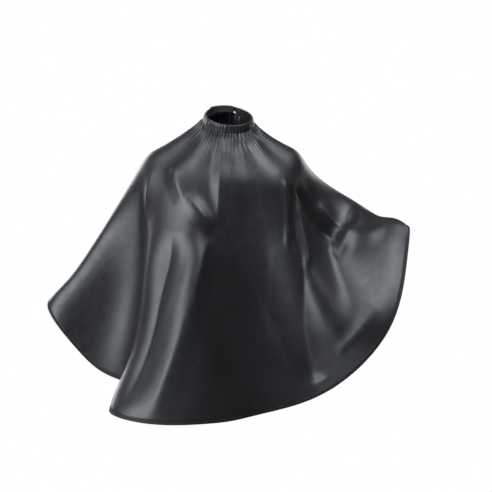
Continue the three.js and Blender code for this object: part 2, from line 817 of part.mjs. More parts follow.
add('cape_body', capeBody(lattice), 'taffeta');
add('neck_casing', neckCasing(lattice), 'taffeta');
add('neck_elastic', neckElastic(lattice), 'elastic');
add('neck_seam_thread', rowThread(lattice, ['bandStitch', 'bandFoot'], bandOuter), 'thread');
add('hem_binding', hemBinding(lattice), 'binding');
add('hem_thread', rowThread(lattice, ['bindingTop', 'bindingStitch'], bindingOuter), 'thread');
for (const side of ['left', 'right']) {
  add(`back_edge_binding_${side}`, backEdgeBinding(lattice, side), 'binding');
  add(`back_edge_thread_${side}`, backEdgeThread(lattice, side), 'thread');
}
add('elastic_bartack_left', bartack(opening + BARTACK.fromOpening), 'thread');
add('elastic_bartack_right', bartack(-opening - TAB.rootLength - BARTACK.fromRoot), 'thread');

add('loop_strip', tape({ ...LOOP, base: loopBase, thickness: TAPE.stripThickness }), 'loopTape');
add('loop_strip_thread', stitchedRectangle({ ...LOOP, inset: STITCH.inset,
  base: loopBase + TAPE.stripThickness + TAPE.clearance }), 'thread');
add('hook_strip', tape({ ...HOOK, base: hookBase, thickness: TAPE.stripThickness }), 'hookTape');
add('closure_tab_lining', tabCloth(0), 'taffeta');
add('closure_tab_face', tabCloth(liningThickness), 'taffeta');
add('closure_tab_root', tabRoot(), 'taffeta');
add('hook_strip_thread', stitchedRectangle({ ...HOOK, inset: STITCH.inset, base: stitchBase }),
  'thread');
add('tab_edge_thread', stitchedRectangle({ start: tabStart, length: TAB.length - TAB.height / 2,
  height: TAB.height, inset: TAB.hem, base: stitchBase }), 'thread');

export default cape;
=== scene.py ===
"""A barber cape as it hangs when it is worn, in cloth detail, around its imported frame.

The cape is one cut of coated taffeta, gathered into an elastic neck band, bound along its hem
and its two back edges, and closed by a hook-and-loop tab at the back of the neck. Every piece is
a surface worked out with numpy in the frame's own metres, +Z up, with the wearer facing -Y.

The cloth is draped first: a lattice of links is relaxed over a dress form, coarse and then
finer. Its small ripples are calmed, soft pulls and the lap of the back edges are given to it, and
the gathers and folds are laid on its surface. The other sewn pieces follow it.
"""

import logging
from dataclasses import dataclass
from enum import Enum

import bpy
import numpy as np
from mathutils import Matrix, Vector


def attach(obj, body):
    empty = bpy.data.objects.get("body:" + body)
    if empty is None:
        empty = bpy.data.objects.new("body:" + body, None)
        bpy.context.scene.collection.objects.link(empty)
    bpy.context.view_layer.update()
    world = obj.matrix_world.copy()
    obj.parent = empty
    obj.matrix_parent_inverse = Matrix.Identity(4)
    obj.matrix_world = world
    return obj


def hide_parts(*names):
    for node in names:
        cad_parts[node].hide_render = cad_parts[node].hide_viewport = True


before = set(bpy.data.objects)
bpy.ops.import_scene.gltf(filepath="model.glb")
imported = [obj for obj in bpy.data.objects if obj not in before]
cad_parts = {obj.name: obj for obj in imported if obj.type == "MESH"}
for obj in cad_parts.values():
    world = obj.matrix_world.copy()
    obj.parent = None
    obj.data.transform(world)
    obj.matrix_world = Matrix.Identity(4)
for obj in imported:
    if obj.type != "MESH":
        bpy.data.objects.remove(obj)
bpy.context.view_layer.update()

LOG = logging.getLogger("barber_cape")
MM = 0.001
TINY = 1e-9
CAPE_BODY = "cape"
CLOTH_MAP = "flat_cloth"
WHITE = (1.0, 1.0, 1.0, 1.0)


# ------------------------------------------------------------------ small surface tools


def unit(vectors: np.ndarray) -> np.ndarray:
    """Each vector divided by its own length."""
    lengths = np.linalg.norm(vectors, axis=-1, keepdims=True)
    return vectors / np.maximum(lengths, TINY * MM)


def smooth(share: np.ndarray) -> np.ndarray:
    """The smooth step 3s^2 - 2s^3 of a share clipped to 0 to 1."""
    s = np.clip(share, 0.0, 1.0)
    return s * s * (3.0 - 2.0 * s)


def cubic(values: np.ndarray, where: np.ndarray) -> np.ndarray:
    """Reads evenly spaced values along their first axis with a Catmull-Rom cubic.

    A place between values 1 and 2 mixes values 0 to 3 by the cubic that passes through values
    1 and 2 with slopes half the difference of their neighbours. Past an end it runs on straight.

    Args:
        values: array of any shape, evenly spaced along its first axis.
        where: places along that axis, in steps, of shape (n,).

    Returns:
        Array of shape (n, ...).
    """
    last = len(values) - 1
    low = np.clip(np.floor(where).astype(int), 0, last - 1)
    f = (where - low).reshape((-1,) + (1,) * (values.ndim - 1))
    before = values[np.maximum(low - 1, 0)]
    start, end = values[low], values[low + 1]
    after = values[np.minimum(low + 2, last)]
    g = np.clip(f, 0.0, 1.0)
    curve = 0.5 * (
        2.0 * start
        + (end - before) * g
        + (2.0 * before - 5.0 * start + 4.0 * end - after) * g**2
        + (3.0 * start - before - 3.0 * end + after) * g**3
    )
    return curve + (f - g) * (end - start)


def doubled(grid: np.ndarray) -> np.ndarray:
    """Puts a point between each two neighbours of a grid, along both of its axes.

    Args:
        grid: array of shape (m, n, ...).

    Returns:
        Array of shape (2 m - 1, 2 n - 1, ...), read by the cubic.
    """
    for axis in (0, 1):
        lines = np.moveaxis(grid, axis, 0)
        count = 2 * len(lines) - 1
        grid = np.moveaxis(cubic(lines, np.arange(count) / 2.0), 0, axis)
    return grid


def normals_of(grid: np.ndarray) -> np.ndarray:
    """Outward unit normals of a grid of columns by rows: the row direction crossed with the
    column direction, both by central differences."""
    return unit(np.cross(np.gradient(grid, axis=1), np.gradient(grid, axis=0)))


def walk(lines: np.ndarray, distance: float) -> np.ndarray:
    """The points a distance along many lines at once.

    Each line's leg lengths are summed, the leg that holds the distance is found by counting the
    sums below it, and the point is mixed between that leg's ends. A negative distance runs back
    along the first leg.

    Args:
        lines: points of shape (steps, n, 3), one line for each n.
        distance: metres from each line's first point.

    Returns:
        Points of shape (n, 3).
    """
    legs = np.linalg.norm(np.diff(lines, axis=0), axis=-1)
    sums = np.concatenate([np.zeros((1, legs.shape[1])), np.cumsum(legs, axis=0)])
    leg = np.clip((sums[1:] <= distance).sum(axis=0), 0, len(legs) - 1)
    n = np.arange(legs.shape[1])
    share = ((distance - sums[leg, n]) / np.maximum(legs[leg, n], TINY))[:, None]
    return lines[leg, n] * (1.0 - share) + lines[leg + 1, n] * share


def evenly(path: np.ndarray, pitch: float, clear: float = 0.0) -> tuple[np.ndarray, np.ndarray]:
    """Places along a path at an even pitch.

    Args:
        path: points of shape (n, 3).
        pitch: metres between places.
        clear: metres left free at each end.

    Returns:
        The places as lengths from the path's start, and the length to each of its points.
    """
    sums = np.concatenate([[0.0], np.cumsum(np.linalg.norm(np.diff(path, axis=0), axis=1))])
    count = max(2, int((sums[-1] - 2.0 * clear) / pitch))
    return clear + (np.arange(count) + 0.5) * (sums[-1] - 2.0 * clear) / count, sums


def read_path(path: np.ndarray, sums: np.ndarray, lengths: np.ndarray) -> np.ndarray:
    """Reads the points or vectors of a path at lengths from its start, by straight mixing."""
    return np.stack([np.interp(lengths, sums, path[:, axis]) for axis in range(3)], axis=-1)


# ------------------------------------------------------------------ meshes


@dataclass
class Patch:
    """Vertices, quads and a place on the flat cloth for each vertex."""

    points: np.ndarray
    faces: np.ndarray
    cloth_place: np.ndarray


def shell(outer: np.ndarray, inner: np.ndarray, cloth_place: np.ndarray) -> Patch:
    """A closed shell of two facing grids joined round their rim.

    Quad (i, j) of the outer grid runs (i, j), (i, j+1), (i+1, j+1), (i+1, j), and the inner
    grid's runs the other way. The rim's quads join the two grids' border points in order.

    Args:
        outer: points of shape (m, n, 3), whose row axis crossed with its column axis points out.
        inner: points of the same shape.
        cloth_place: flat places of shape (m, n, 2).

    Returns:
        The shell as one patch.
    """
    m, n = outer.shape[:2]
    index = np.arange(m * n).reshape(m, n)
    quads = np.stack([index[:-1, :-1], index[:-1, 1:], index[1:, 1:], index[1:, :-1]], axis=-1)
    quads = quads.reshape(-1, 4)
    border = np.concatenate(
        [index[:-1, 0], index[-1, :-1], index[:0:-1, -1], index[0, :0:-1]]
    )
    after = np.roll(border, -1)
    rim = np.stack([after, border, border + m * n, after + m * n], axis=-1)
    faces = np.concatenate([quads, quads[:, ::-1] + m * n, rim[:, ::-1]])
    points = np.concatenate([outer.reshape(-1, 3), inner.reshape(-1, 3)])
    place = np.concatenate([cloth_place.reshape(-1, 2)] * 2)
    return Patch(points, outward(points, faces), place)


def outward(points: np.ndarray, faces: np.ndarray) -> np.ndarray:
    """Turns all faces over when the volume they enclose comes out negative.

    The volume is a sixth of the sum of a . (b x c) + a . (c x d) over the quads a, b, c, d.

    Args:
        points: vertices of shape (n, 3).
        faces: quads of a closed mesh, of shape (k, 4).

    Returns:
        The quads, all running the way that makes their normals point out.
    """
    a, b, c, d = (points[faces[:, k]] for k in range(4))
    volume = (a * (np.cross(b, c) + np.cross(c, d))).sum()
    return faces if volume > 0.0 else faces[:, ::-1]


def copies(template: Patch, centres: np.ndarray, axes: np.ndarray) -> Patch:
    """Copies of a small patch, each turned to its own three axes and moved to its centre.

    Args:
        template: the patch to copy, in its own axes.
        centres: points of shape (k, 3).
        axes: for each copy its X, Y and Z axes as rows, of shape (k, 3, 3).

    Returns:
        All copies as one patch.
    """
    points = centres[:, None, :] + np.einsum("vi,kij->kvj", template.points, axes)
    count = len(template.points)
    faces = template.faces[None] + count * np.arange(len(centres))[:, None, None]
    place = np.broadcast_to(template.cloth_place, (len(centres), count, 2))
    return Patch(points.reshape(-1, 3), faces.reshape(-1, 4), place.reshape(-1, 2))


def spindle(length: float, width: float, height: float) -> Patch:
    """One stitch: a rounded spindle along X, with six sides and two small caps.

    Its radius at a share t of the length is sqrt(sin(pi t)) of the full one, and the points
    round it are (length (t - 1/2), width cos a / 2, height sin a / 2).

    Args:
        length: its full length.
        width: its full width, along Y.
        height: its full height, along Z.

    Returns:
        The closed stitch.
    """
    sides, rings, cap = 6, 5, 0.04
    t = np.linspace(cap, 1.0 - cap, rings)
    a = np.arange(sides) * 2.0 * np.pi / sides
    size = np.sqrt(np.sin(np.pi * t))[:, None]
    points = np.stack(
        [
            np.broadcast_to((t[:, None] - 0.5) * length, (rings, sides)),
            0.5 * width * size * np.cos(a)[None],
            0.5 * height * size * np.sin(a)[None],
        ],
        axis=-1,
    ).reshape(-1, 3)
    index = np.arange(rings * sides).reshape(rings, sides)
    after = np.roll(index, -1, axis=1)
    quads = np.stack([index[:-1], after[:-1], after[1:], index[1:]], axis=-1).reshape(-1, 4)
    near_cap = np.array([[0, 3, 2, 1], [0, 5, 4, 3]])
    far_cap = near_cap[:, ::-1][:, [3, 0, 1, 2]] + (rings - 1) * sides
    faces = np.concatenate([quads, near_cap, far_cap])
    return Patch(points, outward(points, faces), points[:, :2])


def joined(patches: list[Patch]) -> Patch:
    """Several patches as one.

    Args:
        patches: the patches to join.

    Returns:
        One patch whose faces count on through all the points.
    """
    starts = np.cumsum([0] + [len(p.points) for p in patches[:-1]])
    return Patch(
        np.concatenate([p.points for p in patches]),
        np.concatenate([p.faces + start for p, start in zip(patches, starts)]),
        np.concatenate([p.cloth_place for p in patches]),
    )


def make_piece(
    name: str,
    patch: Patch,
    finish: "Finish",
    replaces: tuple[str, ...],
    body: str = CAPE_BODY,
) -> bpy.types.Object:
    """Makes a patch into an object that rides on a body and stands for CAD nodes.

    Args:
        name: the piece's name.
        patch: its mesh.
        finish: the finish whose material it gets.
        replaces: the CAD nodes it stands for.
        body: the body that it rides on.

    Returns:
        The object, at the origin.
    """
    mesh = bpy.data.meshes.new(name)
    mesh.from_pydata(patch.points.tolist(), [], patch.faces.tolist())
    corners = np.empty(len(mesh.loops), dtype=np.int32)
    mesh.loops.foreach_get("vertex_index", corners)
    layer = mesh.uv_layers.new(name=CLOTH_MAP)
    layer.data.foreach_set("uv", patch.cloth_place[corners].astype(np.float32).ravel())
    mesh.shade_smooth()
    mesh.update()
    mesh.materials.append(finish.material())
    piece = bpy.data.objects.new(name, mesh)
    bpy.context.scene.collection.objects.link(piece)
    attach(piece, body)
    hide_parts(*replaces)
    LOG.info("%s: %d points, %d faces", name, len(patch.points), len(patch.faces))
    return piece


# ------------------------------------------------------------------ finishes


class Bench:
    """Adds nodes to one material and links them."""

    def __init__(self, name: str) -> None:
        """Starts a material with a Principled shader."""
        self.material = bpy.data.materials.new(name)
        self.material.use_nodes = True
        self.tree = self.material.node_tree
        self.shader = self.tree.nodes["Principled BSDF"]

    def node(self, kind: str, **settings: object) -> bpy.types.Node:
        """Adds a node and sets its plain properties."""
        made = self.tree.nodes.new("ShaderNode" + kind)
        for key, value in settings.items():
            setattr(made, key, value)
        return made

    def link(self, source: bpy.types.NodeSocket, target: bpy.types.NodeSocket) -> None:
        """Links two sockets."""
        self.tree.links.new(source, target)

    def maths(self, operation: str, *values: object) -> bpy.types.NodeSocket:
        """Adds a Math node.

        Args:
            operation: the node's operation.
            *values: its inputs in order, as numbers or sockets.

        Returns:
            Its result.
        """
        made = self.node("Math", operation=operation)
        for socket, value in zip(made.inputs, values):
            if isinstance(value, bpy.types.NodeSocket):
                self.link(value, socket)
            else:
                socket.default_value = value
        return made.outputs[0]

    def flat_place(self) -> bpy.types.NodeSocket:
        """The piece's own place on the flat cloth, in metres."""
        return self.node("UVMap", uv_map=CLOTH_MAP).outputs["UV"]

    def noise(self, place: bpy.types.NodeSocket, size: float, detail: float = 3.0,
              roughness: float = 0.5) -> bpy.types.NodeSocket:
        """Adds smooth noise.

        Args:
            place: the place that it is read at.
            size: about how far across its features are, in metres.
            detail: how many finer layers it has.
            roughness: how strong each finer layer is.

        Returns:
            The noise, mostly 0.3 to 0.7.
        """
        made = self.node("TexNoise")
        made.inputs["Scale"].default_value = 1.0 / size
        made.inputs["Detail"].default_value = detail
        made.inputs["Roughness"].default_value = roughness
        self.link(place, made.inputs["Vector"])
        return made.outputs[0]

    def mapped(self, value: bpy.types.NodeSocket, low: float, high: float,
               from_low: float = 0.0, from_high: float = 1.0) -> bpy.types.NodeSocket:
        """Carries a value from one range to another.

        Args:
            value: the socket that gives the value.
            low: the result at the first end of the value's range.
            high: the result at its other end.
            from_low: the first end of the value's range.
            from_high: its other end.

        Returns:
            The carried value, held inside its range.
        """
        made = self.node("MapRange")
        self.link(value, made.inputs["Value"])
        made.inputs["From Min"].default_value = from_low
        made.inputs["From Max"].default_value = from_high
        made.inputs["To Min"].default_value = low
        made.inputs["To Max"].default_value = high
        return made.outputs[0]

    def bump(self, height: bpy.types.NodeSocket, distance: float, strength: float = 1.0,
             under: bpy.types.NodeSocket | None = None) -> bpy.types.NodeSocket:
        """Adds a bump, if need be on top of another one.

        Args:
            height: the socket that gives a height of 0 to 1.
            distance: how many metres a height of 1 is.
            strength: the share of the bump that is felt.
            under: the normal of the bump below it.

        Returns:
            The bumped normal.
        """
        made = self.node("Bump")
        made.inputs["Distance"].default_value = distance
        made.inputs["Strength"].default_value = strength
        self.link(height, made.inputs["Height"])
        if under is not None:
            self.link(under, made.inputs["Normal"])
        return made.outputs["Normal"]

    def tint(self, factor: bpy.types.NodeSocket, low: tuple, high: tuple) -> bpy.types.NodeSocket:
        """Mixes two colours.

        Args:
            factor: the socket that gives the share of the second colour.
            low: the first colour.
            high: the second colour.

        Returns:
            The mixed colour.
        """
        made = self.node("Mix", data_type="RGBA")
        self.link(factor, made.inputs["Factor"])
        shades = [socket for socket in made.inputs if socket.type == "RGBA"]
        for shade, colour in zip(shades, (low, high)):
            shade.default_value = (*colour, 1.0)
        return next(socket for socket in made.outputs if socket.type == "RGBA")

    def weave(self, place: bpy.types.NodeSocket, pitch: float,
              across: tuple[int, int] = (0, 1)) -> bpy.types.NodeSocket:
        """A plain weave, 0.5 + 0.5 sin(u) sin(v), whose crests alternate as crossed yarns do.

        Args:
            place: the place that it is read at.
            pitch: metres from one yarn to the next.
            across: which two axes of the place the yarns run along.

        Returns:
            The weave's height, 0 to 1.
        """
        parts = self.node("SeparateXYZ")
        self.link(place, parts.inputs[0])
        waves = [
            self.maths("SINE", self.maths("MULTIPLY", parts.outputs[axis], np.pi / pitch))
            for axis in across
        ]
        return self.maths("MULTIPLY_ADD", self.maths("MULTIPLY", *waves), 0.5, 0.5)


@dataclass(frozen=True)
class Finish:
    """A material: its slot, which names it, two shades of colour, gloss, and its yarns' pitch and
    relief.

    The gleam is the colour of its reflections. All sizes are in metres.
    """

    slot: str
    dark: tuple[float, float, float]
    light: tuple[float, float, float]
    roughness: float
    specular: float
    sheen: float
    pitch: float
    relief: float
    gleam: tuple[float, float, float] = (0.86, 0.93, 1.0)
    sheen_roughness: float = 0.4
    drift_size: float = 0.03
    gloss_drift: float = 0.05

    def material(self) -> bpy.types.Material:
        """The finish's material, made once and then shared."""
        name = f"{self.slot}_finish"
        found = bpy.data.materials.get(name)
        if found is not None:
            return found
        bench = Bench(name)
        shader = bench.shader
        shader.inputs["Specular IOR Level"].default_value = self.specular
        shader.inputs["Specular Tint"].default_value = (*self.gleam, 1.0)
        shader.inputs["Sheen Weight"].default_value = self.sheen
        shader.inputs["Sheen Roughness"].default_value = self.sheen_roughness
        self.dress(bench)
        return bench.material

    def dress(self, bench: Bench) -> None:
        """Yarns as a fine weave, with a slow drift of shade and gloss."""
        place = bench.flat_place()
        yarns = bench.weave(place, self.pitch)
        drift = bench.noise(place, self.drift_size)
        bench.link(bench.tint(drift, self.dark, self.light), bench.shader.inputs["Base Color"])
        smoothest, roughest = self.roughness - self.gloss_drift, self.roughness + self.gloss_drift
        gloss = bench.mapped(drift, smoothest, roughest, 0.3, 0.7)
        bench.link(gloss, bench.shader.inputs["Roughness"])
        bench.link(bench.bump(yarns, self.relief), bench.shader.inputs["Normal"])


@dataclass(frozen=True)
class Taffeta(Finish):
    """Coated taffeta: a fine weave under a satin coating that creases and cockles a little.

    Crinkles, cockles and patches each have a size across, and the first two a height.
    """

    crinkle_size: float = 0.055
    crinkle: float = 0.0011
    cockle_size: float = 0.014
    cockle: float = 0.00012
    patch_size: float = 0.12
    wear_size: float = 0.02
    yarn_strength: float = 0.6

    def dress(self, bench: Bench) -> None:
        """Weave, faint cockles and soft crinkles as bumps, and a coating of uneven gloss."""
        place = bench.flat_place()
        shader = bench.shader
        patches = bench.noise(place, self.patch_size, 2.0)
        bench.link(bench.tint(patches, self.dark, self.light), shader.inputs["Base Color"])
        wear = bench.noise(place, self.wear_size, 4.0)
        both = bench.maths("ADD", patches, wear)
        gloss = bench.mapped(both, self.roughness - 0.05, self.roughness + 0.06, 0.7, 1.3)
        bench.link(gloss, shader.inputs["Roughness"])
        crinkles = bench.noise(place, self.crinkle_size, 2.0, 0.45)
        cockles = bench.noise(place, self.cockle_size, 3.0)
        normal = bench.bump(crinkles, self.crinkle)
        normal = bench.bump(cockles, self.cockle, under=normal)
        yarns = bench.weave(place, self.pitch)
        normal = bench.bump(yarns, self.relief, self.yarn_strength, normal)
        bench.link(normal, shader.inputs["Normal"])


@dataclass(frozen=True)
class FastenerTape(Finish):
    """Hook or loop tape: a field of small raised tufts, with their size and height."""

    tuft_size: float = 0.0012
    tuft_height: float = 0.0004

    def dress(self, bench: Bench) -> None:
        """Round tufts, high and light at the middle of each cell, and low and darkened between by
        painted shade.
        """
        place = bench.node("TexCoord").outputs["Object"]
        cells = bench.node("TexVoronoi")
        cells.inputs["Scale"].default_value = 1.0 / self.tuft_size
        bench.link(place, cells.inputs["Vector"])
        tufts = bench.mapped(cells.outputs["Distance"], 1.0, 0.0, 0.0, 0.6)
        # painted shade: the base colour goes dark where the tufts are low, in the hollows between
        # them
        shade = bench.tint(tufts, self.dark, self.light)
        bench.link(shade, bench.shader.inputs["Base Color"])
        gloss = bench.mapped(tufts, self.roughness, self.roughness - 0.1)
        bench.link(gloss, bench.shader.inputs["Roughness"])
        bench.link(bench.bump(tufts, self.tuft_height), bench.shader.inputs["Normal"])


@dataclass(frozen=True)
class SmallCloth(Finish):
    """A small woven or twisted piece of the frame, whose pattern follows the space it is in."""

    drift_size: float = 0.006

    def dress(self, bench: Bench) -> None:
        """Yarns along X and Z, with a slow drift of shade and gloss."""
        place = bench.node("TexCoord").outputs["Object"]
        yarns = bench.weave(place, self.pitch, (0, 2))
        drift = bench.noise(place, self.drift_size)
        bench.link(bench.tint(drift, self.dark, self.light), bench.shader.inputs["Base Color"])
        gloss = bench.mapped(drift, self.roughness - 0.06, self.roughness + 0.06)
        bench.link(gloss, bench.shader.inputs["Roughness"])
        bench.link(bench.bump(yarns, self.relief), bench.shader.inputs["Normal"])


TAFFETA = Taffeta("taffeta", (0.0105, 0.0108, 0.0125), (0.015, 0.0155, 0.018), 0.40, 0.62, 0.05,
                  0.00032, 0.00003)
BINDING_TAPE = Finish("binding_tape", (0.006, 0.006, 0.007), (0.010, 0.010, 0.011), 0.6, 0.4, 0.1,
                      0.0005, 0.00008)
THREAD = Finish("thread", (0.008, 0.008, 0.009), (0.016, 0.016, 0.017), 0.5, 0.5, 0.1,
                0.0004, 0.00005)


class FrameFinish(Enum):
    """The finishes of the CAD nodes that are shown as they are."""

    CLOTH = TAFFETA
    ELASTIC = SmallCloth("elastic", (0.02, 0.02, 0.02), (0.035, 0.035, 0.035), 0.8, 0.3, 0.2,
                         0.0008, 0.0002)
    STITCHING = THREAD
    HOOKS = FastenerTape("hook_tape", (0.006, 0.006, 0.006), (0.03, 0.03, 0.03), 0.5, 0.5, 0.0,
                         0.0005, 0.0001, tuft_size=0.0013, tuft_height=0.0005)
    LOOPS = FastenerTape("loop_tape", (0.009, 0.009, 0.009), (0.03, 0.03, 0.03), 0.9, 0.2, 0.4,
                         0.0005, 0.0001, tuft_size=0.0008, tuft_height=0.0003)


# ------------------------------------------------------------------ the cut and the neck ring


@dataclass(frozen=True)
class CapeCut:
    """The flat cut: a sector of a ring about the neck, with its outer circle set forward.

    The sector is the share of a full turn that the cloth takes up, and the opening share is the
    share of the neck that is left open at the back.
    """

    radius: float = 0.640
    centre_offset: float = 0.120
    neck_radius: float = 0.075
    sector: float = 0.72
    opening_share: float = 0.012
    measured_at: int = 721

    def angles(self, count: int) -> np.ndarray:
        """Evenly spread angles from one back edge to the other, 0 straight ahead."""
        half = np.pi * (1.0 - self.opening_share)
        return np.linspace(-half, half, count)

    def depth(self, angle: np.ndarray) -> np.ndarray:
        """Length of cloth from neck to hem: c cos a + sqrt(r^2 - (c sin a)^2) - neck radius."""
        ahead = self.centre_offset * np.cos(angle)
        aside = self.centre_offset * np.sin(angle)
        return ahead + np.sqrt(self.radius**2 - aside**2) - self.neck_radius

    def flat(self, angle: np.ndarray, out: np.ndarray) -> np.ndarray:
        """Places on the flat cloth: radius (sin, -cos) of the angle times the sector's share.

        Args:
            angle: angles round the neck.
            out: lengths from the neck cut, of a shape that the angles broadcast with.

        Returns:
            Flat places with a last axis of 2.
        """
        radius = self.neck_radius + out
        turn = angle * self.sector
        return np.stack([radius * np.sin(turn), -radius * np.cos(turn)], axis=-1)

    def area(self) -> float:
        """Flat area: the integral over the angle of half the squared radii's difference."""
        angle = self.angles(self.measured_at)
        swept = 0.5 * ((self.depth(angle) + self.neck_radius) ** 2 - self.neck_radius**2)
        return float((0.5 * (swept[1:] + swept[:-1]) * np.diff(angle * self.sector)).sum())

    def extent(self) -> tuple[float, float]:
        """Width and length of the flat cut, from its hem and its neck line."""
        angle = self.angles(self.measured_at)
        hem = self.flat(angle, self.depth(angle))
        neck = self.flat(angle, np.zeros_like(angle))
        both = np.concatenate([hem, neck])
        return tuple(float(x) for x in both.max(axis=0) - both.min(axis=0))


@dataclass(frozen=True)
class NeckRing:
    """The finished neck: an oval ring, pitched down at the front and rolled to one side."""

    half_width: float = 0.057
    half_depth: float = 0.054
    pitch: float = np.radians(26.0)
    roll: float = np.radians(6.0)
    turn: float = np.radians(-12.0)
    narrowing: float = 4.0

    def point(self, angle: np.ndarray, height: np.ndarray | float = 0.0) -> np.ndarray:
        """Points of the oval at a height along the ring's own axis.

        The oval (w sin a, -d cos a) shrinks by the narrowing times the height, is turned about X
        by the pitch and then about Y by the roll.

        Args:
            angle: angles round the neck, 0 straight ahead before the ring's turn.
            height: metres above the seam, of a shape that the angles broadcast with.

        Returns:
            Points with a last axis of 3.
        """
        a = np.asarray(angle) + self.turn
        h = np.asarray(height) + 0.0 * a
        size = 1.0 - self.narrowing * h
        x, y = size * self.half_width * np.sin(a), -size * self.half_depth * np.cos(a)
        y, z = (y * np.cos(self.pitch) - h * np.sin(self.pitch),
                y * np.sin(self.pitch) + h * np.cos(self.pitch))
        x, z = (x * np.cos(self.roll) + z * np.sin(self.roll),
                z * np.cos(self.roll) - x * np.sin(self.roll))
        return np.stack([x, y, z], axis=-1)

    def outward(self, angle: np.ndarray, height: np.ndarray | float = 0.0) -> np.ndarray:
        """Unit vectors out of the ring: the way round it crossed with the way up it.

        Args:
            angle: angles round the neck.
            height: metres above the seam.

        Returns:
            Unit vectors with a last axis of 3.
        """
        step = 0.01
        around = self.point(angle + step, height) - self.point(angle - step, height)
        up = self.point(angle, np.asarray(height) + MM) - self.point(angle, height)
        return unit(np.cross(around, up))


# ------------------------------------------------------------------ the drape


@dataclass(frozen=True)
class Holds:
    """Where the hem is held out, on the cut and in space, in cut radii from the neck.

    The hem line is what the front hem is dressed to, from the left hold to the right grip.
    """

    left_angle: float = np.radians(-80.0)
    left: tuple[float, float, float] = (-0.671, 0.047, -0.65)
    right_angle: float = np.radians(100.0)
    right: tuple[float, float, float] = (0.653, -0.219, -0.355)
    right_lower: tuple[float, float, float] = (0.616, -0.242, -0.495)
    grip_length: float = 0.097
    right_fall: tuple[float, float, float] = (-0.050, 0.060, -0.020)
    hem_line: tuple[tuple[float, float, float], ...] = (
        (-0.555, -0.094, -0.789), (-0.408, -0.219, -0.917), (-0.365, -0.094, -1.010),
        (-0.294, -0.234, -1.040), (-0.145, -0.406, -1.067), (-0.041, -0.453, -1.024),
        (0.078, -0.453, -0.990), (0.217, -0.336, -0.986), (0.267, -0.297, -0.975),
        (0.366, -0.156, -0.949), (0.510, -0.141, -0.784), (0.580, -0.156, -0.638),
    )


@dataclass(frozen=True)
class DressForm:
    """The rounded cones that the cloth lies on, from the neck to both hands. It isn't shown."""

    ring: NeckRing
    cut: CapeCut
    holds: Holds

    def cones(self) -> np.ndarray:
        """The rounded cones, in rows of eight numbers.

        Returns:
            For each cone its first end, its other end, and its radius at each of them.
        """
        left_hand = self.cut.radius * np.array(self.holds.left) + [0.022, -0.005, 0.0]
        right_hand = self.cut.radius * np.array(self.holds.right) + [-0.016, 0.020, -0.038]
        left_wrist = left_hand + [0.035, 0.010, 0.030]
        right_wrist = right_hand + [-0.045, 0.035, -0.010]
        neck_root = (0.0, 0.010, -0.085)
        shoulders = (-0.160, 0.015, -0.112), (0.137, 0.015, -0.106)
        elbows = (-0.260, 0.050, -0.268), (0.240, 0.090, -0.300)
        neck = self.ring.half_depth
        rows = [
            ((0.0, 0.008, -0.090), (0.0, 0.018, 0.060), neck, neck - 0.004),
            (neck_root, shoulders[1], 0.058, 0.049),
            (neck_root, shoulders[0], 0.058, 0.048),
            ((-0.080, 0.0, -0.170), (-0.075, 0.0, -0.620), 0.098, 0.095),
            ((0.080, 0.0, -0.170), (0.075, 0.0, -0.620), 0.098, 0.095),
            ((0.0, -0.005, -0.170), (0.0, 0.0, -0.620), 0.100, 0.095),
            ((-0.058, -0.070, -0.252), (-0.056, -0.070, -0.257), 0.050, 0.050),
            ((0.055, -0.060, -0.255), (0.057, -0.060, -0.260), 0.045, 0.045),
            (shoulders[0], elbows[0], 0.048, 0.040),
            (elbows[0], left_wrist, 0.040, 0.028),
            (left_wrist, left_hand, 0.028, 0.020),
            (shoulders[1], elbows[1], 0.048, 0.040),
            (elbows[1], right_wrist, 0.040, 0.028),
            (right_wrist, right_hand, 0.028, 0.026),
        ]
        return np.array([[*start, *end, r0, r1] for start, end, r0, r1 in rows])


@dataclass(frozen=True)
class Relaxing:
    """How one lattice is relaxed.

    The calming is rows of (until this share of the steps, speed kept at each step). Stiffnesses
    are the share of a link's excess length that one pass takes out of it.
    """

    steps: int = 900
    time_step: float = 1.0 / 250.0
    passes: int = 2
    gravity: float = 9.81
    gap: float = 0.003
    grip: float = 0.5
    near: float = 0.060
    near_every: int = 10
    top_speed: float = 3.0
    settle_in: float = 0.35
    calming: tuple[tuple[float, float], ...] = ((0.6, 0.985), (0.85, 0.96), (1.0, 0.8))
    hem_pull: float = 0.05
    shape_pull: float = 0.0
    parting: float = 0.004
    parting_columns: int = 6
    averaged: int = 24
    thread: float = 1.0
    shear: float = 0.7
    short_bend: float = 0.4
    long_bend: float = 0.5
    tether_stride: int = 6


@dataclass
class Links:
    """One family of links that share no point, so that they are eased all at once."""

    first: np.ndarray
    second: np.ndarray
    length: np.ndarray
    stiffness: float
    slack: bool


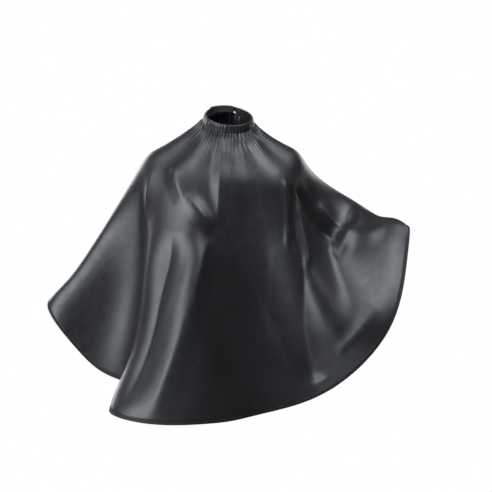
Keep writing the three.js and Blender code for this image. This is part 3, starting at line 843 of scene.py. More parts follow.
class ClothLattice:
    """Cloth as a grid of points with links along the thread, the bias and over wider spans."""

    def __init__(self, place: np.ndarray, flat: np.ndarray, how: Relaxing, cones: np.ndarray,
                 ring: NeckRing, creases: tuple[int, ...]) -> None:
        """Sets the grid's points on their start places.

        Args:
            place: start places of shape (columns, rows, 3).
            flat: places on the flat cut, of shape (columns, rows, 2).
            how: the relaxing's settings.
            cones: the dress form's cones.
            ring: the neck ring, whose turn the back opening has.
            creases: columns that no stiff link crosses.
        """
        self.shape = place.shape[:2]
        self.place = place.reshape(-1, 3).copy()
        self.start = self.place.copy()
        self.flat = flat.reshape(-1, 2)
        self.how, self.cones, self.ring, self.creases = how, cones, ring, creases
        self.speed = np.zeros_like(self.place)
        self.free = np.ones(len(self.place))
        self.index = np.arange(len(self.place)).reshape(self.shape)
        self.free[self.index[:, 0]] = 0.0
        self.held = np.zeros(0, dtype=int)
        self.held_at = self.held_from = np.zeros((0, 3))
        self.dressed = np.zeros(0, dtype=int)
        self.dressed_to = np.zeros((0, 3))
        self.links: list[Links] = []
        self._link()

    def hold(self, points: np.ndarray, places: np.ndarray) -> None:
        """Holds points, and draws them from where they are to their places."""
        self.held, self.held_at = points, places
        self.held_from = self.place[points].copy()
        self.free[points] = 0.0

    def dress_hem(self, points: np.ndarray, places: np.ndarray) -> None:
        """Eases points softly towards places."""
        self.dressed, self.dressed_to = points, places

    def _family(self, columns: int, rows: int, parity: int, stiffness: float, slack: bool,
                creased: bool) -> None:
        """Adds one family of links.

        Args:
            columns: how many columns a link steps.
            rows: how many rows it steps.
            parity: 0 or 1, which half of the places the links start from.
            stiffness: the links' stiffness.
            slack: whether they may be shorter than their length.
            creased: whether they leave out the crease columns.
        """
        stride = max(abs(columns), abs(rows))
        count, down = self.shape
        main = np.arange(count if columns else down)
        main = main[(main // stride) % 2 == parity]
        column, row = np.meshgrid(
            main if columns else np.arange(count),
            np.arange(down) if columns else main,
            indexing="ij",
        )
        keep = (column + columns < count) & (row + rows >= 0) & (row + rows < down)
        if creased and columns:
            for crease in self.creases:
                keep &= ~((column < crease) & (column + columns > crease))
        first = self.index[column[keep], row[keep]]
        second = self.index[column[keep] + columns, row[keep] + rows]
        length = np.linalg.norm(self.flat[first] - self.flat[second], axis=-1)
        self.links.append(Links(first, second, length, stiffness, slack))

    def _link(self) -> None:
        """Adds all the families in the order in which they are eased."""
        how = self.how
        for columns, rows in ((1, 0), (0, 1)):
            for parity in (0, 1):
                self._family(columns, rows, parity, how.thread, False, False)
        for parity in (0, 1):
            self._family(1, 1, parity, how.shear, False, False)
            self._family(1, -1, parity, how.shear, False, False)
        for reach, stiffness in ((2, how.short_bend), (4, how.long_bend)):
            for columns, rows in ((reach, 0), (0, reach)):
                for parity in (0, 1):
                    self._family(columns, rows, parity, stiffness, False, True)
        for columns, rows in ((how.tether_stride, 0), (0, how.tether_stride)):
            for parity in (0, 1):
                self._family(columns, rows, parity, 1.0, True, False)

    def _ease(self, links: Links) -> None:
        """Moves both ends of every link by their share of its excess length."""
        apart = self.place[links.second] - self.place[links.first]
        length = np.sqrt(np.einsum("ij,ij->i", apart, apart)) + TINY
        excess = length - links.length
        if links.slack:
            excess = np.maximum(excess, 0.0)
        free_a, free_b = self.free[links.first], self.free[links.second]
        share = links.stiffness * excess / length / np.maximum(free_a + free_b, TINY)
        move = share[:, None] * apart
        self.place[links.first] += move * free_a[:, None]
        self.place[links.second] -= move * free_b[:, None]

    def _depth(self, points: np.ndarray, cones: np.ndarray) -> tuple[np.ndarray, np.ndarray]:
        """How deep points lie in cones, and the unit direction out.

        The nearest point of a cone's axis is found by projecting, and the depth is the radius
        there, with the gap, less the distance to it.

        Args:
            points: points of shape (n, 3).
            cones: one cone for each point, or one for all.

        Returns:
            The depths, of shape (n,), and the directions, of shape (n, 3).
        """
        start, end = cones[..., 0:3], cones[..., 3:6]
        axis = end - start
        share = ((points - start) * axis).sum(-1) / np.maximum((axis * axis).sum(-1), TINY * MM)
        share = np.clip(share, 0.0, 1.0)
        away = points - start - share[..., None] * axis
        distance = np.maximum(np.linalg.norm(away, axis=-1), TINY)
        radius = cones[..., 6] + (cones[..., 7] - cones[..., 6]) * share + self.how.gap
        return radius - distance, away / distance[..., None]

    def _find_near(self) -> None:
        """Finds the cone that each point is deepest in or nearest to."""
        deep = np.stack([self._depth(self.place, cone[None])[0] for cone in self.cones], axis=-1)
        nearest = deep.argmax(axis=-1)
        close = (deep.max(axis=-1) > -self.how.near) & (self.free > 0.0)
        self.near = np.where(close)[0]
        self.near_cones = self.cones[nearest[self.near]]

    def _push_out(self, before: np.ndarray) -> None:
        """Moves points out of the form, and takes back the grip's share of their slide.

        Args:
            before: where all points were at the start of the step.
        """
        deep, out = self._depth(self.place[self.near], self.near_cones)
        inside = deep > 0.0
        points, out = self.near[inside], out[inside]
        move = self.place[points] + deep[inside][:, None] * out - before[points]
        slide = move - (move * out).sum(-1)[:, None] * out
        self.place[points] = before[points] + move - self.how.grip * slide

    def _part(self) -> None:
        """Keeps the two back edges on their own sides of the plane through the opening."""
        aside = np.array([-np.cos(self.ring.turn), -np.sin(self.ring.turn), 0.0])
        columns = self.how.parting_columns
        for side, points in (
            (1.0, self.index[:columns, 1:].ravel()),
            (-1.0, self.index[-columns:, 1:].ravel()),
        ):
            short = np.maximum(0.0, self.how.parting - side * (self.place[points] @ aside))
            self.place[points] += side * short[:, None] * aside

    def settle(self) -> np.ndarray:
        """Relaxes the lattice.

        Each step draws the held and dressed points on, lets the cloth fall, eases all links in
        turn, and pushes the cloth out of the form.

        Returns:
            The grid's mean place over the last steps, of shape (columns, rows, 3).
        """
        how = self.how
        total = np.zeros_like(self.place)
        for number in range(how.steps):
            if number % how.near_every == 0:
                self._find_near()
            drawn = float(smooth(np.array(number / (how.settle_in * how.steps))))
            pull = how.hem_pull * drawn
            self.place[self.dressed] += pull * (self.dressed_to - self.place[self.dressed])
            if how.shape_pull:
                loose = how.shape_pull * self.free[:, None]
                self.place += loose * (self.start - self.place)
            before = self.place.copy()
            late = number / how.steps
            self.speed *= next(kept for until, kept in how.calming if late < until)
            self.speed[:, 2] -= how.gravity * how.time_step
            self.place += self.free[:, None] * self.speed * how.time_step
            self.place[self.held] = self.held_from + drawn * (self.held_at - self.held_from)
            order = self.links if number % 2 else self.links[::-1]
            for _ in range(how.passes):
                for links in order:
                    self._ease(links)
                self._push_out(before)
            self.speed = (self.place - before) / how.time_step
            fast = np.linalg.norm(self.speed, axis=-1)
            self.speed *= np.minimum(1.0, how.top_speed / np.maximum(fast, TINY))[:, None]
            self._part()
            if number >= how.steps - how.averaged:
                total += self.place / how.averaged
        return total.reshape(*self.shape, 3)


@dataclass(frozen=True)
class Drape:
    """Drapes the cut over the form: coarse as in the frame, and then finer in two steps."""

    cut: CapeCut = CapeCut()
    ring: NeckRing = NeckRing()
    holds: Holds = Holds()
    across: int = 81
    down: int = 21
    start_slope: float = np.radians(12.0)
    softening: float = 0.5
    coarse: Relaxing = Relaxing()
    finer: tuple[Relaxing, ...] = (
        Relaxing(steps=150, gravity=3.0, hem_pull=0.0, shape_pull=0.02, settle_in=0.01,
                 parting_columns=12, short_bend=0.15, long_bend=0.3),
        Relaxing(steps=90, gravity=2.0, hem_pull=0.0, shape_pull=0.02, settle_in=0.01,
                 parting_columns=24, short_bend=0.1, long_bend=0.25),
    )

    def flat_grid(self, across: int, down: int) -> np.ndarray:
        """The flat cut on a grid of columns by rows."""
        angle = self.cut.angles(across)[:, None]
        out = self.cut.depth(angle) * np.linspace(0.0, 1.0, down)[None, :]
        return self.cut.flat(angle, out)

    def start_places(self) -> np.ndarray:
        """A shallow cone out from the neck ring, which the coarse lattice starts from."""
        angle = self.cut.angles(self.across)
        neck = self.ring.point(angle)[:, None, :]
        out = self.cut.depth(angle)[:, None] * np.linspace(0.0, 1.0, self.down)[None, :]
        turned = (angle + self.ring.turn)[:, None]
        level = out * np.cos(self.start_slope)
        drop = -out * np.sin(self.start_slope)
        return neck + np.stack([level * np.sin(turned), -level * np.cos(turned), drop], axis=-1)

    def held_columns(self) -> tuple[int, int]:
        """The coarse columns nearest to the left and the right hold."""
        angles = self.cut.angles(self.across)
        held = (self.holds.left_angle, self.holds.right_angle)
        left, right = (int(np.abs(angles - angle).argmin()) for angle in held)
        return left, right

    def settle_coarse(self, cones: np.ndarray) -> np.ndarray:
        """The coarse drape, with the hem held out at both sides and dressed between them.

        Args:
            cones: the dress form's cones.

        Returns:
            The coarse grid, a little softened across its columns.
        """
        left, right = self.held_columns()
        flat = self.flat_grid(self.across, self.down)
        cloth = ClothLattice(self.start_places(), flat, self.coarse, cones, self.ring,
                             (left, right))
        legs = np.linalg.norm(np.diff(flat[:, -1], axis=0), axis=-1)
        lengths = np.concatenate([[0.0], np.cumsum(legs)])
        holds, radius = self.holds, self.cut.radius
        line = radius * np.array([holds.left, *holds.hem_line, holds.right_lower])
        top, foot = radius * np.array(holds.right), line[-1]
        grip = np.arange(self.across)
        back = lengths[right] - lengths
        grip = grip[(grip <= right) & (back <= holds.grip_length)]
        share = (back[grip] / holds.grip_length)[:, None]
        fall = unit(np.array(holds.right_fall)) * (lengths[right + 2] - lengths[right])
        lead = unit(line[1] - line[0]) * (lengths[left + 1] - lengths[left])
        columns = np.concatenate([[left, left + 1], grip, [right + 2]])
        places = np.concatenate([[line[0], line[0] + lead], top + share * (foot - top),
                                 [top + fall]])
        cloth.hold(cloth.index[columns, -1], places)
        dressed = np.arange(left + 2, grip[0])
        wanted = (lengths[dressed] - lengths[left]) / (lengths[grip[0]] - lengths[left])
        sums = np.concatenate([[0.0], np.cumsum(np.linalg.norm(np.diff(line, axis=0), axis=1))])
        cloth.dress_hem(cloth.index[dressed, -1], read_path(line, sums, wanted * sums[-1]))
        settled = cloth.settle()
        softened = settled.copy()
        mean = 0.5 * (settled[:-2, 1:] + settled[2:, 1:])
        softened[1:-1, 1:] += self.softening * (mean - settled[1:-1, 1:])
        return softened

    def settle(self) -> np.ndarray:
        """The fully draped cloth on its finest lattice, of shape (columns, rows, 3)."""
        cones = DressForm(self.ring, self.cut, self.holds).cones()
        grid = self.settle_coarse(cones)
        low, high = grid.min((0, 1)), grid.max((0, 1))
        LOG.info("coarse drape from %s to %s", low.round(3), high.round(3))
        left, right = self.held_columns()
        scale = 1
        for how in self.finer:
            grid = doubled(grid)
            scale *= 2
            across, down = grid.shape[:2]
            grid[:, 0] = self.ring.point(self.cut.angles(across))
            cloth = ClothLattice(grid, self.flat_grid(across, down), how, cones, self.ring,
                                 (left * scale, right * scale))
            pinned = np.arange(left * scale, (left + 1) * scale + 1)
            gripped = np.arange((right - 2) * scale, right * scale + 1)
            points = cloth.index[np.concatenate([pinned, gripped]), -1]
            cloth.hold(points, cloth.place[points])
            grid = cloth.settle()
            LOG.info("finer drape of %d by %d points", across, down)
        return grid


# ------------------------------------------------------------------ folds laid on the cloth


@dataclass(frozen=True)
class Fold:
    """A fold along a line on the cut: its points are (angle in degrees, share of the depth).

    The cloth is raised by height times (1 - d / width)^sharpness within the width of the line,
    where d is the distance on the flat cloth, fading out over the line's ends. A height below 0
    is a valley.
    """

    line: tuple[tuple[float, float], ...]
    height: float
    width: float
    sharpness: float = 1.6

    def profile(self, flat: np.ndarray, line: np.ndarray) -> np.ndarray:
        """The share of the fold's height at flat places.

        The distance to a broken line is the least over its legs of the distance to the leg's
        nearest point. The share fades with a quarter sine over the line's first and last fifth.

        Args:
            flat: flat places of shape (m, n, 2).
            line: the fold's line on the flat cloth, of shape (k, 2).

        Returns:
            Shares of shape (m, n).
        """
        starts, ends = line[:-1], line[1:]
        leg = ends - starts
        span = np.linalg.norm(leg, axis=-1)
        passed = np.concatenate([[0.0], np.cumsum(span)])
        best = np.full(flat.shape[:2], np.inf)
        at = np.zeros(flat.shape[:2])
        for k in range(len(starts)):
            share = np.clip(((flat - starts[k]) @ leg[k]) / span[k] ** 2, 0.0, 1.0)
            gap = np.linalg.norm(flat - starts[k] - share[..., None] * leg[k], axis=-1)
            nearer = gap < best
            best = np.where(nearer, gap, best)
            at = np.where(nearer, (passed[k] + share * span[k]) / passed[-1], at)
        from_end = np.minimum(at, 1.0 - at)
        fade = np.sin(0.5 * np.pi * np.clip(from_end / 0.2, 0.0, 1.0))
        return np.clip(1.0 - best / self.width, 0.0, 1.0) ** self.sharpness * fade


FOLDS: tuple[Fold, ...] = (
    Fold(((-46.0, 0.19), (-20.0, 0.27), (6.0, 0.35)), 0.008, 0.036, 1.5),
    Fold(((2.0, 0.02), (7.0, 0.18), (9.0, 0.34)), 0.006, 0.026, 1.4),
    Fold(((-58.0, 0.24), (-50.0, 0.45), (-38.0, 0.72), (-27.0, 0.97)), 0.006, 0.045, 1.6),
    Fold(((-20.0, 0.40), (-18.0, 0.63), (-14.0, 0.97)), -0.016, 0.075, 1.3),
    Fold(((4.0, 0.38), (0.0, 0.45), (-4.0, 0.69), (-7.0, 1.0)), 0.010, 0.050, 1.5),
    Fold(((20.0, 0.38), (30.0, 0.55), (37.0, 0.80), (39.0, 1.0)), 0.005, 0.060, 1.6),
    Fold(((70.0, 0.29), (58.0, 0.52), (45.0, 0.75), (41.0, 1.0)), -0.016, 0.085, 1.4),
    Fold(((76.0, 0.33), (66.0, 0.46), (62.0, 0.54), (56.0, 0.58)), 0.008, 0.016, 1.3),
    Fold(((74.0, 0.30), (80.0, 0.45), (86.0, 0.64)), -0.010, 0.036, 1.5),
    Fold(((92.0, 0.46), (90.0, 0.64), (92.0, 0.87)), 0.009, 0.034, 1.4),
    Fold(((108.0, 0.66), (97.0, 0.70), (78.0, 0.66)), 0.008, 0.032, 1.4),
    Fold(((39.0, 0.955), (46.0, 0.97), (54.0, 0.91), (70.0, 0.90)), 0.008, 0.030, 1.4),
    Fold(((66.0, 0.25), (58.0, 0.36), (49.0, 0.48)), 0.005, 0.014, 1.4),
)


@dataclass(frozen=True)
class Pull:
    """A soft pull on the cloth, as a hand, an elbow or its own weight gives.

    The place is an angle in degrees and a share of the depth. The cloth moves by the given metres
    times exp(-(d / reach)^2), where d is the distance on the flat cloth from the place.
    """

    angle: float
    share: float
    reach: float
    move: tuple[float, float, float]


PULLS: tuple[Pull, ...] = (
    Pull(-71.0, 1.00, 0.090, (-0.018, 0.0, -0.004)),
    Pull(-54.0, 1.00, 0.110, (-0.030, 0.0, -0.030)),
    Pull(-20.0, 1.02, 0.120, (-0.050, 0.0, -0.006)),
    Pull(-7.0, 1.02, 0.110, (-0.006, -0.004, -0.016)),
    Pull(24.0, 1.02, 0.140, (0.0, 0.0, 0.014)),
    Pull(-80.0, 1.00, 0.060, (-0.012, 0.0, 0.002)),
    Pull(105.0, 0.36, 0.080, (-0.006, 0.0, -0.006)),
    Pull(110.0, 0.62, 0.110, (0.004, 0.0, 0.022)),
    Pull(99.0, 0.94, 0.080, (0.004, 0.0, 0.030)),
)


@dataclass(frozen=True)
class Gathers:
    """The gathers under the neck seam: short fine ones, and slower ones that run further down."""

    count: float = 58.0
    height: float = 0.0019
    at_seam: float = 0.0004
    fullest: float = 0.010
    reach: float = 0.015
    long_count: float = 17.0
    long_height: float = 0.0012
    long_reach: float = 0.035

    def rise(self, angle: np.ndarray, out: np.ndarray) -> np.ndarray:
        """Height of the gathers: two uneven ripples round the neck that fade down the cloth.

        Each ripple is the sine of its count times an angle that is itself swayed by slower
        sines, and it grows from the seam to its fullest and then fades exponentially.

        Args:
            angle: angles round the neck.
            out: metres of cloth below the seam.

        Returns:
            Heights in metres, above and below 0.
        """
        sway = angle + 0.035 * np.sin(5.0 * angle + 0.7) + 0.02 * np.sin(11.0 * angle + 2.1)
        fine = np.sin(self.count * sway) + 0.35 * np.sin(0.43 * self.count * sway + 1.3)
        slow = np.sin(self.long_count * sway + 0.8 * np.sin(3.0 * angle)) * (
            0.7 + 0.3 * np.sin(7.0 * angle + 0.4))
        grown = smooth(out / self.fullest)
        past = np.maximum(out - self.fullest, 0.0)
        near = (self.at_seam + (self.height - self.at_seam) * grown) * np.exp(-past / self.reach)
        far = self.long_height * grown * np.exp(-past / self.long_reach)
        return near * fine + far * slow


def calmed(grid: np.ndarray, columns: float, rows: float) -> np.ndarray:
    """A grid with its small ripples averaged away and its border kept in place.

    Each axis is weighted by a bell exp(-k^2 / 2 s^2) over k steps to both sides. Past an end the
    grid is carried on by its own half turn about the end point, 2 p0 - pk, which keeps p0.

    Args:
        grid: points of shape (columns, rows, 3).
        columns: the bell's spread s in columns.
        rows: the bell's spread s in rows.

    Returns:
        The calmed grid, of the same shape.
    """
    for axis, spread in ((0, columns), (1, rows)):
        reach = int(3.0 * spread)
        lines = np.moveaxis(grid, axis, 0)
        before = 2.0 * lines[:1] - lines[reach:0:-1]
        after = 2.0 * lines[-1:] - lines[-2:-2 - reach:-1]
        padded = np.concatenate([before, lines, after])
        steps = np.arange(-reach, reach + 1)
        weights = np.exp(-0.5 * (steps / spread) ** 2)
        weights /= weights.sum()
        lines = sum(w * padded[k:k + len(lines)] for k, w in enumerate(weights))
        grid = np.moveaxis(lines, 0, axis)
    return grid


@dataclass(frozen=True)
class BackLap:
    """How the two back edges lap over each other below the closed tab.

    The spread is in columns, and the last two are shares of the depth.
    """

    width: float = 0.004
    clearance: float = 0.006
    spread: float = 14.0
    full_by: float = 0.03
    gone_by: float = 0.30


@dataclass(frozen=True)
class FittedCloth:
    """The draped cloth read at the columns and rows that the sewn pieces need.

    The tuck is the heights of the rows inside the band, and calm is how far its ripples are
    averaged, in columns and rows. Pulls grow from nothing at the seam to full at their share.
    """

    cut: CapeCut
    ring: NeckRing
    columns: int = 401
    rows: int = 95
    crowding: float = 1.6
    tuck: tuple[float, ...] = (0.005, 0.0025)
    gathers: Gathers = Gathers()
    calm: tuple[float, float] = (8.0, 2.5)
    pulled_from: float = 0.12
    back_lap: BackLap = BackLap()

    def angles(self) -> np.ndarray:
        """The columns' angles."""
        return self.cut.angles(self.columns)

    def shares(self) -> np.ndarray:
        """The rows' shares of the depth, t^crowding, which crowd towards the neck."""
        return np.linspace(0.0, 1.0, self.rows) ** self.crowding

    def flat(self) -> np.ndarray:
        """The flat place of every column and row below the seam."""
        angle = self.angles()[:, None]
        return self.cut.flat(angle, self.cut.depth(angle) * self.shares()[None, :])

    def fold_rise(self) -> np.ndarray:
        """Height of all the laid folds on the grid."""
        flat = self.flat()
        rise = np.zeros(flat.shape[:2])
        for fold in FOLDS:
            marks = np.array(fold.line)
            angle = np.radians(marks[:, 0])
            line = self.cut.flat(angle, self.cut.depth(angle) * marks[:, 1])
            rise += fold.height * fold.profile(flat, line)
        return rise

    def pulled(self) -> np.ndarray:
        """How far all the pulls move every place on the grid."""
        flat = self.flat()
        moved = np.zeros((*flat.shape[:2], 3))
        for pull in PULLS:
            angle = np.radians(pull.angle)
            place = self.cut.flat(angle, self.cut.depth(angle) * pull.share)
            gap = np.linalg.norm(flat - place, axis=-1) / pull.reach
            moved += np.exp(-gap**2)[..., None] * np.array(pull.move)
        return moved

    def lapped(self, grid: np.ndarray) -> np.ndarray:
        """How far the back edges move so that they lap over each other below the closed tab.

        Each edge's distance from the plane through the opening is brought to minus the lap, and
        one edge moves out and the other in by half the clearance. The move fades away from the
        edge as exp(-(k / spread)^2) over k columns, and with the share of the depth.

        Args:
            grid: the cloth below the seam, of shape (columns, rows, 3).

        Returns:
            Moves of the same shape.
        """
        turn, lap = self.ring.turn, self.back_lap
        aside = np.array([-np.cos(turn), -np.sin(turn), 0.0])
        behind = np.array([-np.sin(turn), np.cos(turn), 0.0])
        shares = self.shares()
        fade = smooth(shares / lap.full_by) * (1.0 - smooth((shares - lap.full_by) / lap.gone_by))
        number = np.arange(self.columns)
        moved = np.zeros_like(grid)
        for side, edge in ((1.0, 0), (-1.0, self.columns - 1)):
            near = np.exp(-(((number - edge) / lap.spread) ** 2))
            gap = np.maximum(side * (grid[edge] @ aside) + lap.width, 0.0)
            shift = -side * gap[:, None] * aside + 0.5 * side * lap.clearance * behind
            moved += near[:, None, None] * (fade[:, None] * shift)[None]
        return moved

    def lay(self, draped: np.ndarray) -> np.ndarray:
        """Reads the drape on the grid, calms and pulls it, and raises its gathers and folds.

        Args:
            draped: the finest lattice, of shape (columns, rows, 3).

        Returns:
            Places of shape (columns, tucked rows + rows, 3), from the band down to the hem.
        """
        angle = self.angles()
        columns = np.linspace(0.0, draped.shape[0] - 1.0, self.columns)
        down = self.shares() * (draped.shape[1] - 1.0)
        grid = cubic(np.moveaxis(cubic(draped, columns), 1, 0), down)
        grid = np.moveaxis(grid, 0, 1)
        grid[:, 0] = self.ring.point(angle)
        grid = calmed(grid, *self.calm)
        grid = grid + self.pulled() * smooth(self.shares() / self.pulled_from)[None, :, None]
        out = self.cut.depth(angle)[:, None] * self.shares()[None, :]
        rise = self.gathers.rise(angle[:, None], out) * smooth(out / MM) + self.fold_rise()
        grid = grid + rise[..., None] * normals_of(grid)
        grid = grid + self.lapped(grid)
        tucked = np.stack([self.ring.point(angle, height) for height in self.tuck], axis=1)
        return np.concatenate([tucked, grid], axis=1)


# ------------------------------------------------------------------ sewn pieces


@dataclass(frozen=True)
class StitchLine:
    """A line of lock stitches."""

    pitch: float = 0.0030
    length: float = 0.0026
    width: float = 0.00055
    height: float = 0.00035

    def sew(self, path: np.ndarray, out: np.ndarray, clear: float = 0.001) -> Patch:
        """Lays stitches along a path, each along it with its height out of the cloth.

        Args:
            path: points of shape (n, 3).
            out: outward directions at the points.
            clear: metres left free at each end.

        Returns:
            All the stitches as one patch.
        """
        lengths, sums = evenly(path, self.pitch, clear)
        centres = read_path(path, sums, lengths)
        ahead = unit(read_path(path, sums, lengths + 0.5 * MM) - centres)
        up = read_path(out, sums, lengths)
        side = unit(np.cross(up, ahead))
        axes = np.stack([ahead, side, np.cross(ahead, side)], axis=1)
        return copies(spindle(self.length, self.width, self.height), centres, axes)


@dataclass
class CapeCloth:
    """The cape body: one cloth of even thickness."""

    grid: np.ndarray
    flat: np.ndarray
    thickness: float = 0.0003

    def build(self) -> bpy.types.Object:
        """Both faces of the cloth, half the thickness out along its normals each way."""
        out = 0.5 * self.thickness * normals_of(self.grid)
        patch = shell(self.grid + out, self.grid - out, self.flat)
        return make_piece("cape_cloth", patch, TAFFETA, ("cape_body",))


@dataclass
class EdgeBinding:
    """Tape folded over an edge of the cloth, and its line of stitches.

    Lines run in from the edge, one point each, and place is the length along the flat edge. The
    tape hugs the cloth at half its thickness and folds a little past the edge.
    """

    name: str
    lines: np.ndarray
    place: np.ndarray
    thread_name: str
    width: float = 0.006
    wall: float = 0.00035
    hug: float = 0.00022
    fold_out: float = 0.0007
    stitch_inset: float = 0.0048
    stitch: StitchLine = StitchLine()
    insets: tuple[float, ...] = (1.0, 0.93, 0.6, 0.3, 0.08)

    def section(self, out: float, fold: float) -> tuple[np.ndarray, np.ndarray]:
        """The tape's section from its outer free edge round the fold to its inner free edge.

        Args:
            out: how far its walls lie from the middle of the cloth.
            fold: how far its fold lies past the edge.

        Returns:
            Distances in from the edge, and distances out from the cloth.
        """
        wall = self.width * np.array(self.insets)
        turn = np.linspace(0.5 * np.pi, -0.5 * np.pi, 7)[1:-1]
        inset = np.concatenate([wall, -fold * np.cos(turn), wall[::-1]])
        rise = np.full(len(wall), out)
        return inset, np.concatenate([rise, out * np.sin(turn), -rise])

    def skin(self, normals: np.ndarray, out: float, fold: float) -> np.ndarray:
        """One skin of the tape along the whole edge, from walks into the cloth.

        Args:
            normals: outward directions at the edge's points.
            out: how far the skin's walls lie from the middle of the cloth.
            fold: how far its fold lies past the edge.

        Returns:
            Points of shape (edge points, section points, 3).
        """
        inset, rise = self.section(out, fold)
        rows = [walk(self.lines, d) + h * normals for d, h in zip(inset, rise)]
        return np.stack(rows, axis=1)

    def build(self, replaces: tuple[str, ...]) -> list[bpy.types.Object]:
        """The tape, and its stitches on both of its faces.

        Args:
            replaces: the CAD nodes of the tape and of its thread.

        Returns:
            Both pieces.
        """
        edge, inner = self.lines[0], walk(self.lines, self.width)
        along = np.gradient(edge, axis=0)
        normals = unit(np.cross(inner - edge, along))
        outer = self.skin(normals, self.hug + self.wall, self.fold_out + self.wall)
        lining = self.skin(normals, self.hug, self.fold_out)
        inset, _ = self.section(self.hug, self.fold_out)
        place = np.stack(np.broadcast_arrays(self.place[:, None], inset[None, :]), axis=-1)
        patch = shell(outer, lining, place)
        tape = make_piece(self.name, patch, BINDING_TAPE, replaces[:1])
        seam = walk(self.lines, self.stitch_inset)
        rise = self.hug + self.wall + 0.2 * self.stitch.height
        rows = [self.stitch.sew(seam + side * rise * normals, side * normals, 4.0 * MM)
                for side in (1.0, -1.0)]
        thread = make_piece(self.thread_name, joined(rows), THREAD, replaces[1:])
        return [tape, thread]


@dataclass
class NeckBand:
    """The neck casing, puckered by its elastic, and the stitches of its seam.

    The fastener is where its hard parts start and end, in metres from the middle of the back.
    """

    cut: CapeCut
    ring: NeckRing
    grid: np.ndarray
    columns: int = 801
    height: float = 0.01525
    skirt: float = 0.0020
    inner: float = 0.00095
    wall: float = 0.0007
    puff: float = 0.0011
    pucker: float = 0.0011
    rim_wave: float = 0.0008
    puckers: float = 46.0
    fastener: tuple[float, float] = (-0.022, 0.068)
    blend: float = 0.010
    seam_row: int = 2
    section_points: int = 33
    stitch: StitchLine = StitchLine(0.0028, 0.0024, 0.0006, 0.0004)

    def flatness(self, angle: np.ndarray) -> np.ndarray:
        """1 where the band is free to pucker and 0 under the fastener at the back."""
        radius = 0.5 * (self.ring.half_width + self.ring.half_depth)
        past = (angle + np.pi) * radius
        before = past - 2.0 * np.pi * radius
        start, end = self.fastener
        return smooth((past - end) / self.blend) * smooth((start - before) / self.blend)

    def ripple(self, angle: np.ndarray) -> np.ndarray:
        """Uneven puckers of 0 to 1 round the band: a sine of a swayed angle, sharpened."""
        sway = angle + 0.03 * np.sin(6.0 * angle + 1.1) + 0.015 * np.sin(13.0 * angle)
        wave = 0.5 + 0.5 * np.sin(self.puckers * sway)
        return wave ** 1.4 * (0.75 + 0.25 * np.sin(9.0 * angle + 0.5))

    def skin(self, angle: np.ndarray, out: float) -> np.ndarray:
        """One skin of the casing, from its outer foot over its rim to its inner foot.

        Round the section a share t goes from -1 at the outer foot through 0 at the rim to 1 at
        the inner foot. Height falls from the rim with |t|, and the distance out is the wall's
        plus a puff of sin(pi |t|) and the puckers, with its sign changing at the rim.

        Args:
            angle: angles round the neck, of shape (n,).
            out: how far the skin lies from the middle of the casing.

        Returns:
            Points of shape (n, section points, 3).
        """
        t = np.linspace(-1.0, 1.0, self.section_points)[None, :]
        size = np.abs(t)
        a = angle[:, None]
        free = self.flatness(a)
        ripple = self.ripple(a)
        top = self.height + (out - self.inner) * 0.9
        wave = self.rim_wave * free * (ripple - 0.5) * smooth(1.0 - 1.4 * size)
        rise = top - (top + self.skirt) * size ** 1.15 + wave
        swell = self.puff * np.sin(np.pi * size) ** 0.8 * free
        swell = swell + self.pucker * free * ripple * (0.35 + 0.65 * np.sin(np.pi * size))
        side = -np.sign(t) * np.sqrt(np.clip(size * 6.0, 0.0, 1.0))
        offset = side * (out + np.where(t < 0.0, swell, 0.35 * swell) * smooth(3.0 * size))
        over = np.maximum(rise, 0.0)
        place = self.ring.point(a, over) + offset[..., None] * self.ring.outward(a, over)
        below = np.minimum(rise, 0.0)
        return place + self.drop(angle)[:, None, :] * (-below[..., None])

    def drop(self, angle: np.ndarray) -> np.ndarray:
        """Unit vectors down the cloth from the seam's row to a few rows below it."""
        columns = (angle - angle[0]) / (angle[-1] - angle[0]) * (len(self.grid) - 1.0)
        seam, below = len(FittedCloth.tuck), len(FittedCloth.tuck) + 5
        return unit(cubic(self.grid[:, below], columns) - cubic(self.grid[:, seam], columns))

    def build(self) -> list[bpy.types.Object]:
        """The casing with its stitched seam."""
        angle = self.cut.angles(self.columns)
        outer = self.skin(angle, self.inner + self.wall)
        lining = self.skin(angle, self.inner)
        radius = 0.5 * (self.ring.half_width + self.ring.half_depth)
        around = angle * radius * 1.6
        up = np.linspace(-1.0, 1.0, outer.shape[1]) * self.height
        place = np.stack(np.broadcast_arrays(around[:, None], up[None, :]), axis=-1)
        casing = make_piece("neck_band", shell(outer, lining, place), TAFFETA, ("neck_casing",))
        row = self.seam_row
        rows = []
        for seam, foot, sign in ((row, 0, 1.0), (-1 - row, -1, -1.0)):
            line, base = outer[:, seam], outer[:, foot]
            out = sign * unit(np.cross(np.gradient(line, axis=0), line - base))
            rows.append(self.stitch.sew(line + 0.1 * MM * out, out))
        thread = make_piece("neck_seam_stitches", joined(rows), THREAD, ("neck_seam_thread",))
        return [casing, thread]


# ------------------------------------------------------------------ the studio


@dataclass(frozen=True)
class SoftBox:
    """A rectangular lamp aimed at the cape."""

    place: tuple[float, float, float]
    size: tuple[float, float]
    power: float
    aim: tuple[float, float, float] = (0.0, 0.0, -0.35)

    def build(self) -> None:
        """Adds the lamp."""
        light = bpy.data.lights.new("soft_box", "AREA")
        light.shape = "RECTANGLE"
        light.size, light.size_y = self.size
        light.energy = self.power
        lamp = bpy.data.objects.new("soft_box", light)
        bpy.context.scene.collection.objects.link(lamp)
        lamp.location = self.place
        aim = Vector(self.aim) - Vector(self.place)
        lamp.rotation_euler = aim.to_track_quat("-Z", "Y").to_euler()


